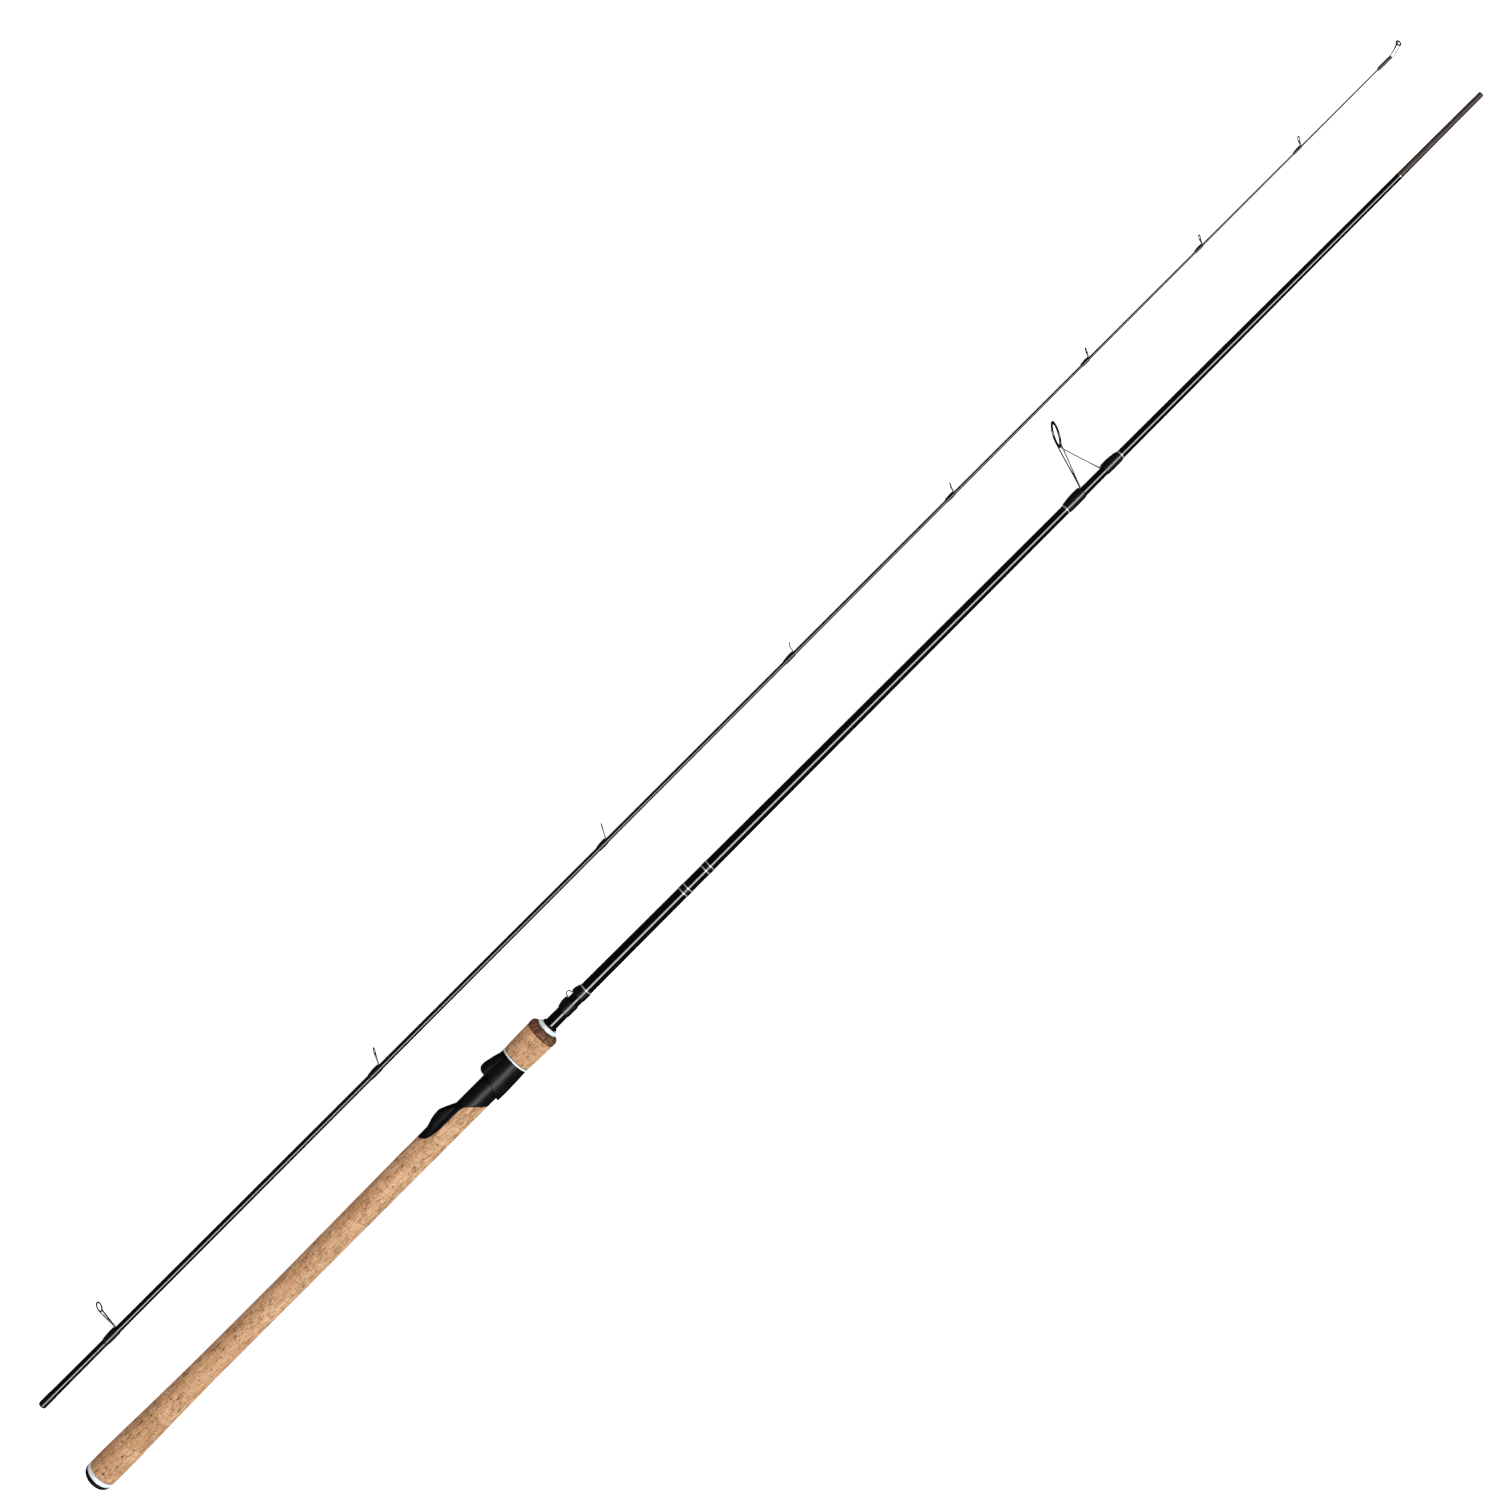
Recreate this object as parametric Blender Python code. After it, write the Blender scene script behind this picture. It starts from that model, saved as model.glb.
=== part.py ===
"""Two-piece spinning rod, taken down, its two sections lying side by side on a flat surface.

The rod lies along +X, butt to tip. Its guides and the reel side of its seat point to +Y, and +Z is up.
Lengths are in millimetres until a mesh is made, which is in metres. A station is a distance along a section:
from the butt end on the butt section, and from the socket mouth on the tip section.
"""
import math

import bmesh
import bpy
from mathutils import Vector

MM = 0.001

# Layout of the two sections
BUTT_LENGTH = 1403.0
SECTION_SPACING = 64.8
TIP_LEAD = 5.2
BUTT_AXIS_HEIGHT = 12.3
TIP_AXIS_HEIGHT = 4.1
PALM_REACH = 12.3
GUIDE_REACH = 89.92

# Clearances between neighbours
GAP = 0.3
THIN_GAP = 0.1
WELD_DISTANCE = 0.03

# Facets around each family of round pieces
BLANK_SIDES = 16
TIP_SIDES = 12
GRIP_SIDES = 28
SEAT_SIDES = 32
STRIPPER_RING_SIDES = 24
RING_SIDES = 12
HOOP_SIDES = 16

# Blank outlines: (station, radius)
BUTT_BLANK = ((4.3, 6.2), (330.0, 5.45), (470.0, 5.02), (700.0, 4.28), (980.0, 3.66),
              (1130.0, 3.2), (1260.0, 2.72), (1319.5, 2.6), (1403.0, 2.2))
TIP_BLANK = ((0.0, 3.05), (20.0, 2.95), (90.0, 2.68), (322.0, 2.28), (563.0, 1.85), (764.0, 1.55),
             (935.0, 1.3), (1066.0, 1.07), (1186.5, 0.88), (1297.0, 0.72), (1373.5, 0.62))
BLANK_WALL = 1.1
BLANK_BORE_MIN_R = 1.1
SOCKET_DEPTH = 85.0
SOCKET_MOUTH_R = 2.57
SOCKET_END_R = 2.28
TIP_BORE = ((0.0, SOCKET_MOUTH_R), (SOCKET_DEPTH, SOCKET_END_R), (91.0, 1.9), (563.0, 1.2), (1373.5, 0.3))
# The thread at the socket's mouth: (station, thickness)
SOCKET_WRAP = ((0.4, 0.12), (1.6, 0.3), (9.5, 0.32), (11.5, 0.1))
FERRULE_STATION = 1319.5

# Handle
CAP_OUTLINE = ((0.0, 8.6), (0.5, 10.0), (1.6, 11.0), (3.0, 11.5), (4.0, 11.55))
BUTT_RING_SPAN = (4.3, 7.3)
GRIP_START = 7.6
GRIP_STATIONS = (GRIP_START, 25.0, 45.0, 70.0, 98.0, 130.0, 200.0)
GRIP_FRONT_STATIONS = (318.0, 394.0)
GRIP_BORE_R = 6.6
GRIP_BUTT_R = 11.6
GRIP_WAIST_R = 9.88
GRIP_TAPER = 62.0
GRIP_FRONT_RISE = 0.6
SEAT_REAR = 331.0
SEAT_FRONT = 443.0
BARREL_R = 8.0
COUNTERBORE_R = 8.35
SEAT_BORE_R = 6.9
ARBOR_SPANS = (("rear", (340.0, 368.0)), ("front", (405.0, 436.0)))
SEAT_BODY_R = 10.4
SEAT_SHOULDER = 402.0
BED_Y = 8.25
BED_START = 371.0
# The slanted mouth of the fixed hood, from the bed up
HOOD_MOUTH = ((360.0, 16.0), (360.6, 13.4), (363.4, 12.0))
POCKET_FLOOR = 7.9
REAR_POCKET = (354.0, 12.15, 6.0)
HOOD_POCKET = (411.0, 12.8, 6.3)
HOOD_SQUARENESS = 4.0
FIXED_HOOD_HALF = 8.8
FIXED_HOOD_BASE = 3.0
FIXED_HOOD_TOPS = ((344.0, 10.4), (348.0, 11.4), (351.0, 12.3), (354.0, 13.2), (357.5, 13.75),
                   (361.0, 13.7), (372.0, 12.5))
# The S-shaped edge between cork and seat, from the reel side over to the palm side: (station, Y)
PALM_EDGE = ((334.6, 14.0), (336.2, 11.0), (341.8, 5.8), (349.0, 3.7), (356.0, 3.1), (365.0, 3.1),
             (371.5, 3.1), (375.6, 2.5), (378.6, 0.9), (383.3, -4.1), (388.0, -9.9), (391.0, -13.6))
KEY_SPAN = (410.0, 423.0)
KEY_WIDTH = 1.8
KEY_DEPTH = 0.9
KEY_ROOM = 0.4

# Movable hood and foregrip, in the place where they stand at rest
HOOD_FRONT = 424.0
HOOD_BORE_STEP = 408.0
HOOD_BORE_R = 8.45
HOOD_CLEAR_R = 10.78
HOOD_SHELL = ((392.0, 11.85), (403.0, 12.1), (410.0, 12.0), (417.0, 11.75), (HOOD_FRONT, 11.35))
SLIDING_HOOD_HALF = 9.2
SLIDING_HOOD_BASE = 4.0
SLIDING_HOOD_TOPS = ((400.0, 13.9), (404.0, 14.6), (407.5, 14.6), (411.0, 13.8), (416.0, 12.7), (421.6, 10.9))
HOOD_REAR_EDGE = ((393.5, -14.5), (395.9, -11.0), (399.4, -6.1), (402.2, 1.1), (402.9, 7.5),
                  (403.5, 12.0), (405.6, 15.5))
TRIM_RING_LENGTH = 1.2
TRIM_RING_R = 11.55
NUT_SPAN = (425.9, 441.0)
NUT_R = 9.75
FOREGRIP_START = 425.9
FOREGRIP_OUTLINE = ((425.9, 11.4), (430.0, 11.65), (438.0, 11.9), (449.6, 12.1))
FOREGRIP_BORE = ((425.9, 10.05), (441.4, 10.05), (441.5, 8.5), (449.6, 8.5))
END_RING_OUTLINE = ((449.9, 12.15), (452.8, 12.3), (454.6, 11.9), (455.8, 10.7))
CHECK_OUTLINE = ((456.1, 8.3), (457.0, 8.1), (458.9, 6.9))
SEAL_SPAN = (459.2, 460.5)
SEAL_R = 6.1
FOREGRIP_BORE_R = 5.55

# Thread work on the butt section
KEEPER_CENTRE = 485.6
KEEPER_LOOP_R = 2.05
KEEPER_WIRE_R = 0.4
KEEPER_RISE = 0.95
KEEPER_REAR_FOOT = (474.6, 482.0)
KEEPER_FRONT_FOOT = (489.2, 495.0)
KEEPER_REAR_WRAP = (473.3, 483.0)
KEEPER_FRONT_WRAP = (488.3, 495.8)
KEEPER_BAND = 496.3
TRIM_BANDS = (594.6, 599.3, 617.3, 621.8)
BAND_WIDTH = 0.9
BAND_WALL = 0.34
BAND_GAP = 0.2
# How a wrap swells along its length: (part of the length, share of its rise)
WRAP_SWELL = ((0.0, 0.2), (0.22, 0.8), (0.55, 1.0), (0.85, 0.9), (1.0, 0.5))
KEEPER_WRAP_WALL = (0.25, 0.1)
STRIPPER_WRAP_WALL = (0.25, 0.25)

# Stripper guide
STRIPPER_REAR_BASE = 1000.6
STRIPPER_FRONT_BASE = 1020.4
STRIPPER_RING_Y = 43.0
STRIPPER_RING_R = 10.0
STRIPPER_BORE_R = 8.0
STRIPPER_INSERT_WIDTH = 1.9
STRIPPER_INSERT_ROOM = 0.25
STRIPPER_RING_LEAN = 27.0
STRIPPER_LEG_LEAN = 19.0
STRIPPER_THICKNESS = 0.8
STRIPPER_HOOP = 0.85
STRIPPER_FOOT = (14.0, 1.1)
STRIPPER_LEG_WIDTH = 1.1
STRIPPER_STRUT = (0.7, 1.5)
STRIPPER_REAR_WRAP = (983.0, 999.6)
STRIPPER_FRONT_WRAP = (1021.6, 1036.6)
STRIPPER_BANDS = (982.2, 1037.4)
# The front strut's foot, from its base: (along, up)
STRIPPER_STRUT_FOOT = ((-0.4, 1.6), (0.7, 0.2), (2.2, 0.0), (13.0, -0.05))

# Single-foot guides: (station, ring radius, ring centre height, leg lean, ring lean, wrap length)
TIP_GUIDES = (
    (77.2, 4.1, 21.2, 3.0, 20.0, 12.5),
    (345.5, 3.0, 11.4, 27.0, 29.0, 11.2),
    (576.7, 2.75, 9.9, 28.0, 28.0, 9.6),
    (767.7, 2.4, 7.1, 7.0, 33.0, 10.5),
    (931.1, 2.35, 6.1, 10.0, 29.0, 9.0),
    (1068.5, 2.35, 5.6, 25.0, 26.0, 8.4),
    (1184.2, 2.35, 5.4, 20.0, 28.0, 8.4),
    (1284.8, 2.35, 5.1, 22.0, 32.0, 8.4),
)

# What grows with a single-foot guide's ring radius, or with the blank's radius: (share, constant)
GUIDE_THICKNESS = (0.05, 0.3)
GUIDE_HOOP = (0.1, 0.2)
GUIDE_LEG_WIDTH = (0.07, 0.3)
GUIDE_FOOT_HALF = (0.15, 0.2)
GUIDE_FOOT_COVER = 1.6
INSERT_WALL = (0.09, 0.17)
INSERT_WIDTH = (0.12, 0.5)
INSERT_ROOM = 0.1
GUIDE_WRAP_WALL = 0.14
GUIDE_WRAP_RISE = (0.07, 0.02)
# The foot of a guide narrows away from the legs: (part of its length, share of its half-width)
FOOT_TAPER = ((0.55, 0.95), (1.0, 0.45))
LEG_ROWS = 4

# Tip top
TOP_TUBE = (1363.4, 1375.8)
TOP_TUBE_R = 1.25
TOP_TUBE_BORE_R = 0.82
TOP_RING_X = 1386.7
TOP_RING_Y = 3.1
TOP_RING_R = 2.45
TOP_HOOP_WALL = 0.4
TOP_HOOP_HALF = 0.4
TOP_LEG_R = 0.27
TOP_STRUT = (0.36, 1.1)
TOP_INSERT_BORE_R = 1.45
TOP_INSERT_WIDTH = 1.1


def clear_scene():
    for obj in list(bpy.data.objects):
        bpy.data.objects.remove(obj, do_unlink=True)


def material(name, color, roughness, metallic=0.0):
    """A plain Principled material; color is linear RGB."""
    mat = bpy.data.materials.new(name)
    mat.use_nodes = True
    shader = mat.node_tree.nodes["Principled BSDF"]
    shader.inputs["Base Color"].default_value = (*color, 1.0)
    shader.inputs["Roughness"].default_value = roughness
    shader.inputs["Metallic"].default_value = metallic
    return mat


def empty(name, location, parent=None):
    """A joint or section frame at location, in millimetres from its parent."""
    obj = bpy.data.objects.new(name, None)
    obj.location = Vector(location) * MM
    obj.parent = parent
    bpy.context.collection.objects.link(obj)
    return obj


def add(name, bm, mat, parent, origin=(0.0, 0.0, 0.0)):
    """Make an object of a mesh built in its section's coordinates, with its own origin at origin."""
    bmesh.ops.recalc_face_normals(bm, faces=bm.faces)
    bmesh.ops.translate(bm, verts=bm.verts, vec=-Vector(origin))
    bmesh.ops.scale(bm, verts=bm.verts, vec=(MM, MM, MM))
    mesh = bpy.data.meshes.new(name)
    bm.to_mesh(mesh)
    bm.free()
    mesh.shade_smooth()
    mesh.set_sharp_from_angle(angle=math.radians(35.0))
    obj = bpy.data.objects.new(name, mesh)
    obj.location = Vector(origin) * MM
    obj.parent = parent
    if mat:
        obj.data.materials.append(mat)
    bpy.context.collection.objects.link(obj)
    return obj


def tool(name, bm, parent):
    """A solid that only cuts or joins other pieces."""
    obj = add(name, bm, None, parent)
    obj.hide_render = True
    obj.display_type = 'WIRE'
    return obj


def combine(target, other, operation):
    """Cut target with other, join other to it, or keep what they share."""
    boolean = target.modifiers.new(operation.lower(), 'BOOLEAN')
    boolean.operation = operation
    boolean.object = other


def clean(obj):
    """Merge the points that cuts leave almost on top of each other."""
    weld = obj.modifiers.new("weld", 'WELD')
    weld.merge_threshold = WELD_DISTANCE * MM


def read(outline, station):
    """The value of an outline at a station, straight between its points."""
    for (x0, r0), (x1, r1) in zip(outline, outline[1:]):
        if station <= x1:
            return r0 + (r1 - r0) * (station - x0) / (x1 - x0)
    return outline[-1][1]


def grown(rule, size):
    """A dimension that grows with size, from its (share, constant)."""
    return rule[0] * size + rule[1]


def butt_r(station):
    return read(BUTT_BLANK, station)


def tip_r(station):
    return read(TIP_BLANK, station)


def skin(rings, closed):
    """Skin rings of points with quads. Closed joins the last ring to the first, open fills both ends."""
    bm = bmesh.new()
    loops = [[bm.verts.new(p) for p in ring] for ring in rings]
    pairs = list(zip(loops, loops[1:]))
    if closed:
        pairs.append((loops[-1], loops[0]))
    for first, second in pairs:
        for i in range(len(first)):
            j = (i + 1) % len(first)
            bm.faces.new((first[i], first[j], second[j], second[i]))
    if not closed:
        bm.faces.new(loops[0])
        bm.faces.new(loops[-1])
    return bm


def ring_points(x, r, sides, y0=0.0, ry=None):
    """Points around +X at station x: half-width r in Z, half-width ry in Y, about height y0."""
    ry = r if ry is None else ry
    angles = [2.0 * math.pi * k / sides for k in range(sides)]
    return [(x, y0 + ry * math.cos(a), r * math.sin(a)) for a in angles]


def hood_ring(x, half, base, top):
    """A squarish arch at station x: half its width in Z, base its middle height, and top its top."""
    power = 2.0 / HOOD_SQUARENESS
    ring = []
    for _, y, z in ring_points(x, 1.0, SEAT_SIDES):
        up = math.copysign(abs(y) ** power, y)
        across = math.copysign(abs(z) ** power, z)
        ring.append((x, base + (top - base) * up, half * across))
    return ring


def turned(outline, sides, closed=True):
    """A piece turned about +X from a list of (x, r) or (x, r, y0) points. Closed outlines leave a bore."""
    return skin([ring_points(p[0], p[1], sides, *p[2:]) for p in outline], closed)


def sleeve(outer, bore, sides):
    """A turned piece with its outer outline given rear to front, and its bore outline also rear to front."""
    return turned(list(outer) + list(reversed(bore)), sides)


def plain_sleeve(span, outer_r, bore_r, sides):
    return sleeve([(span[0], outer_r), (span[1], outer_r)], [(span[0], bore_r), (span[1], bore_r)], sides)


def prism(outline, half_depth):
    """An outline in X and Y, extruded both ways along Z."""
    bm = bmesh.new()
    face = bm.faces.new([bm.verts.new((x, y, -half_depth)) for x, y in outline])
    side = bmesh.ops.extrude_face_region(bm, geom=[face])
    verts = [v for v in side["geom"] if isinstance(v, bmesh.types.BMVert)]
    bmesh.ops.translate(bm, verts=verts, vec=(0.0, 0.0, 2.0 * half_depth))
    return bm


def block(low, high):
    """A box from its low corner to its high corner."""
    return prism([(low[0], low[1]), (high[0], low[1]), (high[0], high[1]), (low[0], high[1])], high[2])


def spline_value(a, b, c, d, t):
    """The value at t, from b to c, of the smooth line through a, b, c and d."""
    slope = c - a
    bend = 2 * a - 5 * b + 4 * c - d
    twist = 3 * b - a - 3 * c + d
    return 0.5 * (2 * b + slope * t + bend * t * t + twist * t ** 3)


def smooth_line(points, steps):
    """A smooth line through points (Catmull-Rom), with steps stretches between neighbours."""
    ends = [points[0]] + list(points) + [points[-1]]
    line = []
    for p0, p1, p2, p3 in zip(ends, ends[1:], ends[2:], ends[3:]):
        for k in range(steps):
            t = k / steps
            line.append(tuple(spline_value(*values, t) for values in zip(p0, p1, p2, p3)))
    line.append(tuple(points[-1]))
    return line


def swept(path, section):
    """A bar along a path of points. Section points are (across, z); across lies in the X-Y plane."""
    rings = []
    for i, (x, y, z) in enumerate(path):
        before, after = path[max(i - 1, 0)], path[min(i + 1, len(path) - 1)]
        dx, dy = after[0] - before[0], after[1] - before[1]
        length = math.hypot(dx, dy)
        nx, ny = -dy / length, dx / length
        rings.append([(x + nx * a, y + ny * a, z + b) for a, b in section])
    return skin(rings, closed=False)


def round_section(r, sides=8):
    angles = [2.0 * math.pi * k / sides for k in range(sides)]
    return [(r * math.cos(a), r * math.sin(a)) for a in angles]


def flat_section(thickness, width):
    t, w = thickness / 2, width / 2
    return [(-t, -w), (t, -w), (t, w), (-t, w)]


def leaning_ring(bm, x, y, lean):
    """Lean a ring that was turned about +X at the origin, and carry its centre to (x, y)."""
    angle = math.radians(-lean)
    for v in bm.verts:
        px, py = v.co.x, v.co.y
        v.co.x = x + px * math.cos(angle) - py * math.sin(angle)
        v.co.y = y + px * math.sin(angle) + py * math.cos(angle)
    return bm


def guide_ring(outer_r, bore_r, width, sides):
    """A ceramic ring with a rounded bore, turned about +X at the origin."""
    half, mid = width / 2, (outer_r + bore_r) / 2
    outer_half, bore_half = 0.7 * half, 0.5 * half
    outline = [(-half, mid), (-outer_half, outer_r), (outer_half, outer_r), (half, mid), (bore_half, bore_r),
               (-bore_half, bore_r)]
    return turned(outline, sides)


def bent_sheet(base, foot_y, foot, ring, leg_width, leans, hoop_width):
    """The sheet of a guide frame: a hoop on two legs that meet in a foot along the blank.

    base is the station where the legs rise, foot its (length, half-width), and ring its (radius, centre
    height). leans holds the legs' and the hoop's lean towards the tip, in degrees.
    """
    radius, centre_y = ring
    leg_lean, ring_lean = (math.radians(a) for a in leans)
    foot_length, foot_half = foot
    leg_length = (centre_y - radius * math.cos(ring_lean) - foot_y) / math.cos(leg_lean)

    def place(u, v):
        """A point of the flat sheet, u across and v up from the legs' base, bent into its place."""
        if v <= 0.0:
            return (base + v, foot_y, u)
        leg = min(v, leg_length)
        hoop = max(v - leg_length, 0.0)
        x = base + leg * math.sin(leg_lean) + hoop * math.sin(ring_lean)
        return (x, foot_y + leg * math.cos(leg_lean) + hoop * math.cos(ring_lean), u)

    bm = bmesh.new()
    centre_v = leg_length + radius
    count = HOOP_SIDES
    angles = [2 * math.pi * k / count - math.pi / 2 for k in range(count)]
    outer, inner = (
        [bm.verts.new(place(r * math.cos(a), centre_v + r * math.sin(a))) for a in angles]
        for r in (radius, radius - hoop_width))
    for k in range(count):
        j = (k + 1) % count
        bm.faces.new((outer[k], outer[j], inner[j], inner[k]))

    base_row = {side: bm.verts.new(place(side * foot_half, 0.0)) for side in (-1, 0, 1)}
    for side, near, far in ((1, 2, 3), (-1, count - 2, count - 3)):
        top_near = (radius * math.cos(angles[near]), centre_v + radius * math.sin(angles[near]))
        top_far = (radius * math.cos(angles[far]), centre_v + radius * math.sin(angles[far]))
        above = (outer[near], outer[far])
        for row in range(1, LEG_ROWS + 1):
            t = row / LEG_ROWS
            if row == LEG_ROWS:
                below = (base_row[0], base_row[side])
            else:
                v = leg_length * (1 - t) + 0.04 * radius
                middle = (1 - t) * (top_near[0] + top_far[0]) / 2 + t * side * foot_half / 2
                pinch = leg_width / 2
                below = tuple(bm.verts.new(place(middle + s * side * pinch, v)) for s in (-1, 1))
            bm.faces.new((above[0], above[1], below[1], below[0]))
            above = below

    above = base_row
    for part, shrink in FOOT_TAPER:
        half = foot_half * shrink
        below = {side: bm.verts.new(place(side * half, -part * foot_length)) for side in (-1, 0, 1)}
        for left, right in ((-1, 0), (0, 1)):
            bm.faces.new((above[left], above[right], below[right], below[left]))
        above = below
    centre_x = base + leg_length * math.sin(leg_lean) + radius * math.sin(ring_lean)
    return bm, centre_x


def thicken(obj, thickness):
    """Give a sheet its thickness, evenly to both sides."""
    solid = obj.modifiers.new("thickness", 'SOLIDIFY')
    solid.thickness = thickness * MM
    solid.offset = 0.0
    solid.use_even_offset = True


def wrap(span, blank_r, sides, foot, wall, rise):
    """A thread wrap round the blank and over a guide's foot, on the +Y side.

    foot is the foot's (thickness, half-width), wall the wrap's thickness, and rise the extra of its middle.
    """
    rear, front = span
    length = front - rear
    thickness, half = foot
    outer, bore = [], []
    for part, swell in WRAP_SWELL:
        x = rear + part * length
        r = blank_r(x) + THIN_GAP
        facet_loss = 2.2 * r * (1.0 - math.cos(math.pi / sides))
        room = thickness + THIN_GAP + facet_loss + half * half / (2.0 * r)
        bore.append((x, r + room / 2, room / 2))
        outer.append((x, r + room / 2 + wall + rise * swell, room / 2))
    return sleeve(outer, bore, sides)


def band(station, blank_r, sides, wall=BAND_WALL):
    """A narrow thread band round the blank."""
    rear, front = station - BAND_WIDTH / 2, station + BAND_WIDTH / 2
    bore = [(x, blank_r(x) + THIN_GAP) for x in (rear, front)]
    outer = [(x, r + wall) for x, r in bore]
    return sleeve(outer, bore, sides)


# Materials
def make_materials():
    return {
        "cork": material("cork", (0.60, 0.36, 0.19), 0.75),
        "burl": material("burl_cork", (0.13, 0.055, 0.025), 0.7),
        "carbon": material("gloss_carbon", (0.012, 0.012, 0.013), 0.12),
        "seat": material("satin_seat", (0.02, 0.02, 0.023), 0.42),
        "rubber": material("butt_rubber", (0.015, 0.015, 0.015), 0.65),
        "bright": material("bright_trim", (0.78, 0.8, 0.83), 0.22, 1.0),
        "thread": material("black_thread", (0.012, 0.012, 0.012), 0.1),
        "silver_thread": material("silver_thread", (0.62, 0.6, 0.62), 0.3, 1.0),
        "frame": material("guide_frame", (0.42, 0.4, 0.38), 0.22, 1.0),
        "ceramic": material("ring_ceramic", (0.01, 0.01, 0.011), 0.1),
        "arbor": material("arbor_foam", (0.55, 0.5, 0.4), 0.9),
        "nut": material("nut_nylon", (0.03, 0.03, 0.03), 0.5),
    }


# Butt section: blank, butt end and grip
def grip_r(x):
    return GRIP_WAIST_R + (GRIP_BUTT_R - GRIP_WAIST_R) * math.exp(-((x - GRIP_START) / GRIP_TAPER) ** 2)


def palm_line():
    """The S-shaped edge between the cork and the seat, from the reel side over to the palm side."""
    return smooth_line(PALM_EDGE, 2)


def seat_side(shift):
    """The region on the seat's side of the S-shaped edge, moved by shift in X and Y."""
    line = [(x + shift, y + shift) for x, y in palm_line()]
    return line + [(460.0, -14.0), (460.0, 18.0), (line[0][0], 18.0)]


def make_butt_blank(mats, parent):
    outer = list(BUTT_BLANK)
    bore = [(x, max(r - BLANK_WALL, BLANK_BORE_MIN_R)) for x, r in (outer[0], outer[3], outer[6], outer[-1])]
    return add("butt_blank", sleeve(outer, bore, BLANK_SIDES), mats["carbon"], parent)


def make_butt_end(mats, parent):
    add("butt_cap", turned(CAP_OUTLINE, GRIP_SIDES, closed=False), mats["rubber"], parent)
    ring = plain_sleeve(BUTT_RING_SPAN, GRIP_BUTT_R, GRIP_BORE_R, GRIP_SIDES)
    add("butt_trim_ring", ring, mats["bright"], parent)


def make_rear_grip(mats, parent):
    outer = [(x, grip_r(x)) for x in GRIP_STATIONS]
    outer += [(x, SEAT_BODY_R, GRIP_FRONT_RISE) for x in GRIP_FRONT_STATIONS]
    step = SEAT_REAR - 1.0
    bore = [(GRIP_START, GRIP_BORE_R), (step, GRIP_BORE_R), (step + GAP, COUNTERBORE_R),
            (GRIP_FRONT_STATIONS[-1], COUNTERBORE_R)]
    grip = add("rear_grip", sleeve(outer, bore, GRIP_SIDES), mats["cork"], parent)
    scoop = tool("grip_scoop", prism(seat_side(0.0), 14.0), parent)
    combine(grip, scoop, 'DIFFERENCE')


# Reel seat
def make_arbors(mats, parent):
    for end, span in ARBOR_SPANS:
        bore_r = butt_r(span[0]) + GAP
        arbor = plain_sleeve(span, SEAT_BORE_R - GAP, bore_r, BLANK_SIDES)
        add(f"seat_arbor_{end}", arbor, mats["arbor"], parent)


def make_reel_seat(mats, parent):
    """The barrel is turned; the body that fills the grip's scoop, with the fixed hood, is joined to it."""
    barrel = plain_sleeve((SEAT_REAR, SEAT_FRONT), BARREL_R, SEAT_BORE_R, SEAT_SIDES)
    seat = add("reel_seat", barrel, mats["seat"], parent)

    inner_r = BARREL_R - 0.5
    body_outer = [(x, SEAT_BODY_R, GRIP_FRONT_RISE) for x in (SEAT_REAR + 1.0, SEAT_SHOULDER)]
    body_bore = [(x, inner_r) for x in (SEAT_REAR + 1.0, SEAT_SHOULDER)]
    body = tool("seat_body", sleeve(body_outer, body_bore, SEAT_SIDES), parent)

    hood = [hood_ring(x, FIXED_HOOD_HALF, FIXED_HOOD_BASE, top) for x, top in FIXED_HOOD_TOPS]
    hood_tool = tool("fixed_hood", skin(hood, closed=False), parent)
    combine(body, hood_tool, 'UNION')
    side = tool("seat_side", prism(seat_side(GAP), 13.0), parent)
    combine(body, side, 'INTERSECT')
    core = turned([(SEAT_REAR, inner_r), (SEAT_FRONT, inner_r)], SEAT_SIDES, closed=False)
    combine(body, tool("seat_bore", core, parent), 'DIFFERENCE')
    combine(seat, body, 'UNION')

    bed = [(BED_START, BED_Y), (SEAT_SHOULDER + 1.0, BED_Y), (SEAT_SHOULDER + 1.0, HOOD_MOUTH[0][1])]
    bed += HOOD_MOUTH
    combine(seat, tool("foot_bed", prism(bed, 13.0), parent), 'DIFFERENCE')
    start, roof, half = REAR_POCKET
    pocket = block((start, POCKET_FLOOR, -half), (BED_START + 0.6, roof, half))
    combine(seat, tool("rear_pocket", pocket, parent), 'DIFFERENCE')
    key_low = BARREL_R - KEY_DEPTH
    slot_half = KEY_WIDTH / 2 + KEY_ROOM
    slot = block((SEAT_SHOULDER + 1.5, -BARREL_R - 1.0, -slot_half), (SEAT_FRONT + 1.0, -key_low, slot_half))
    combine(seat, tool("key_slot", slot, parent), 'DIFFERENCE')
    clean(seat)


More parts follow.
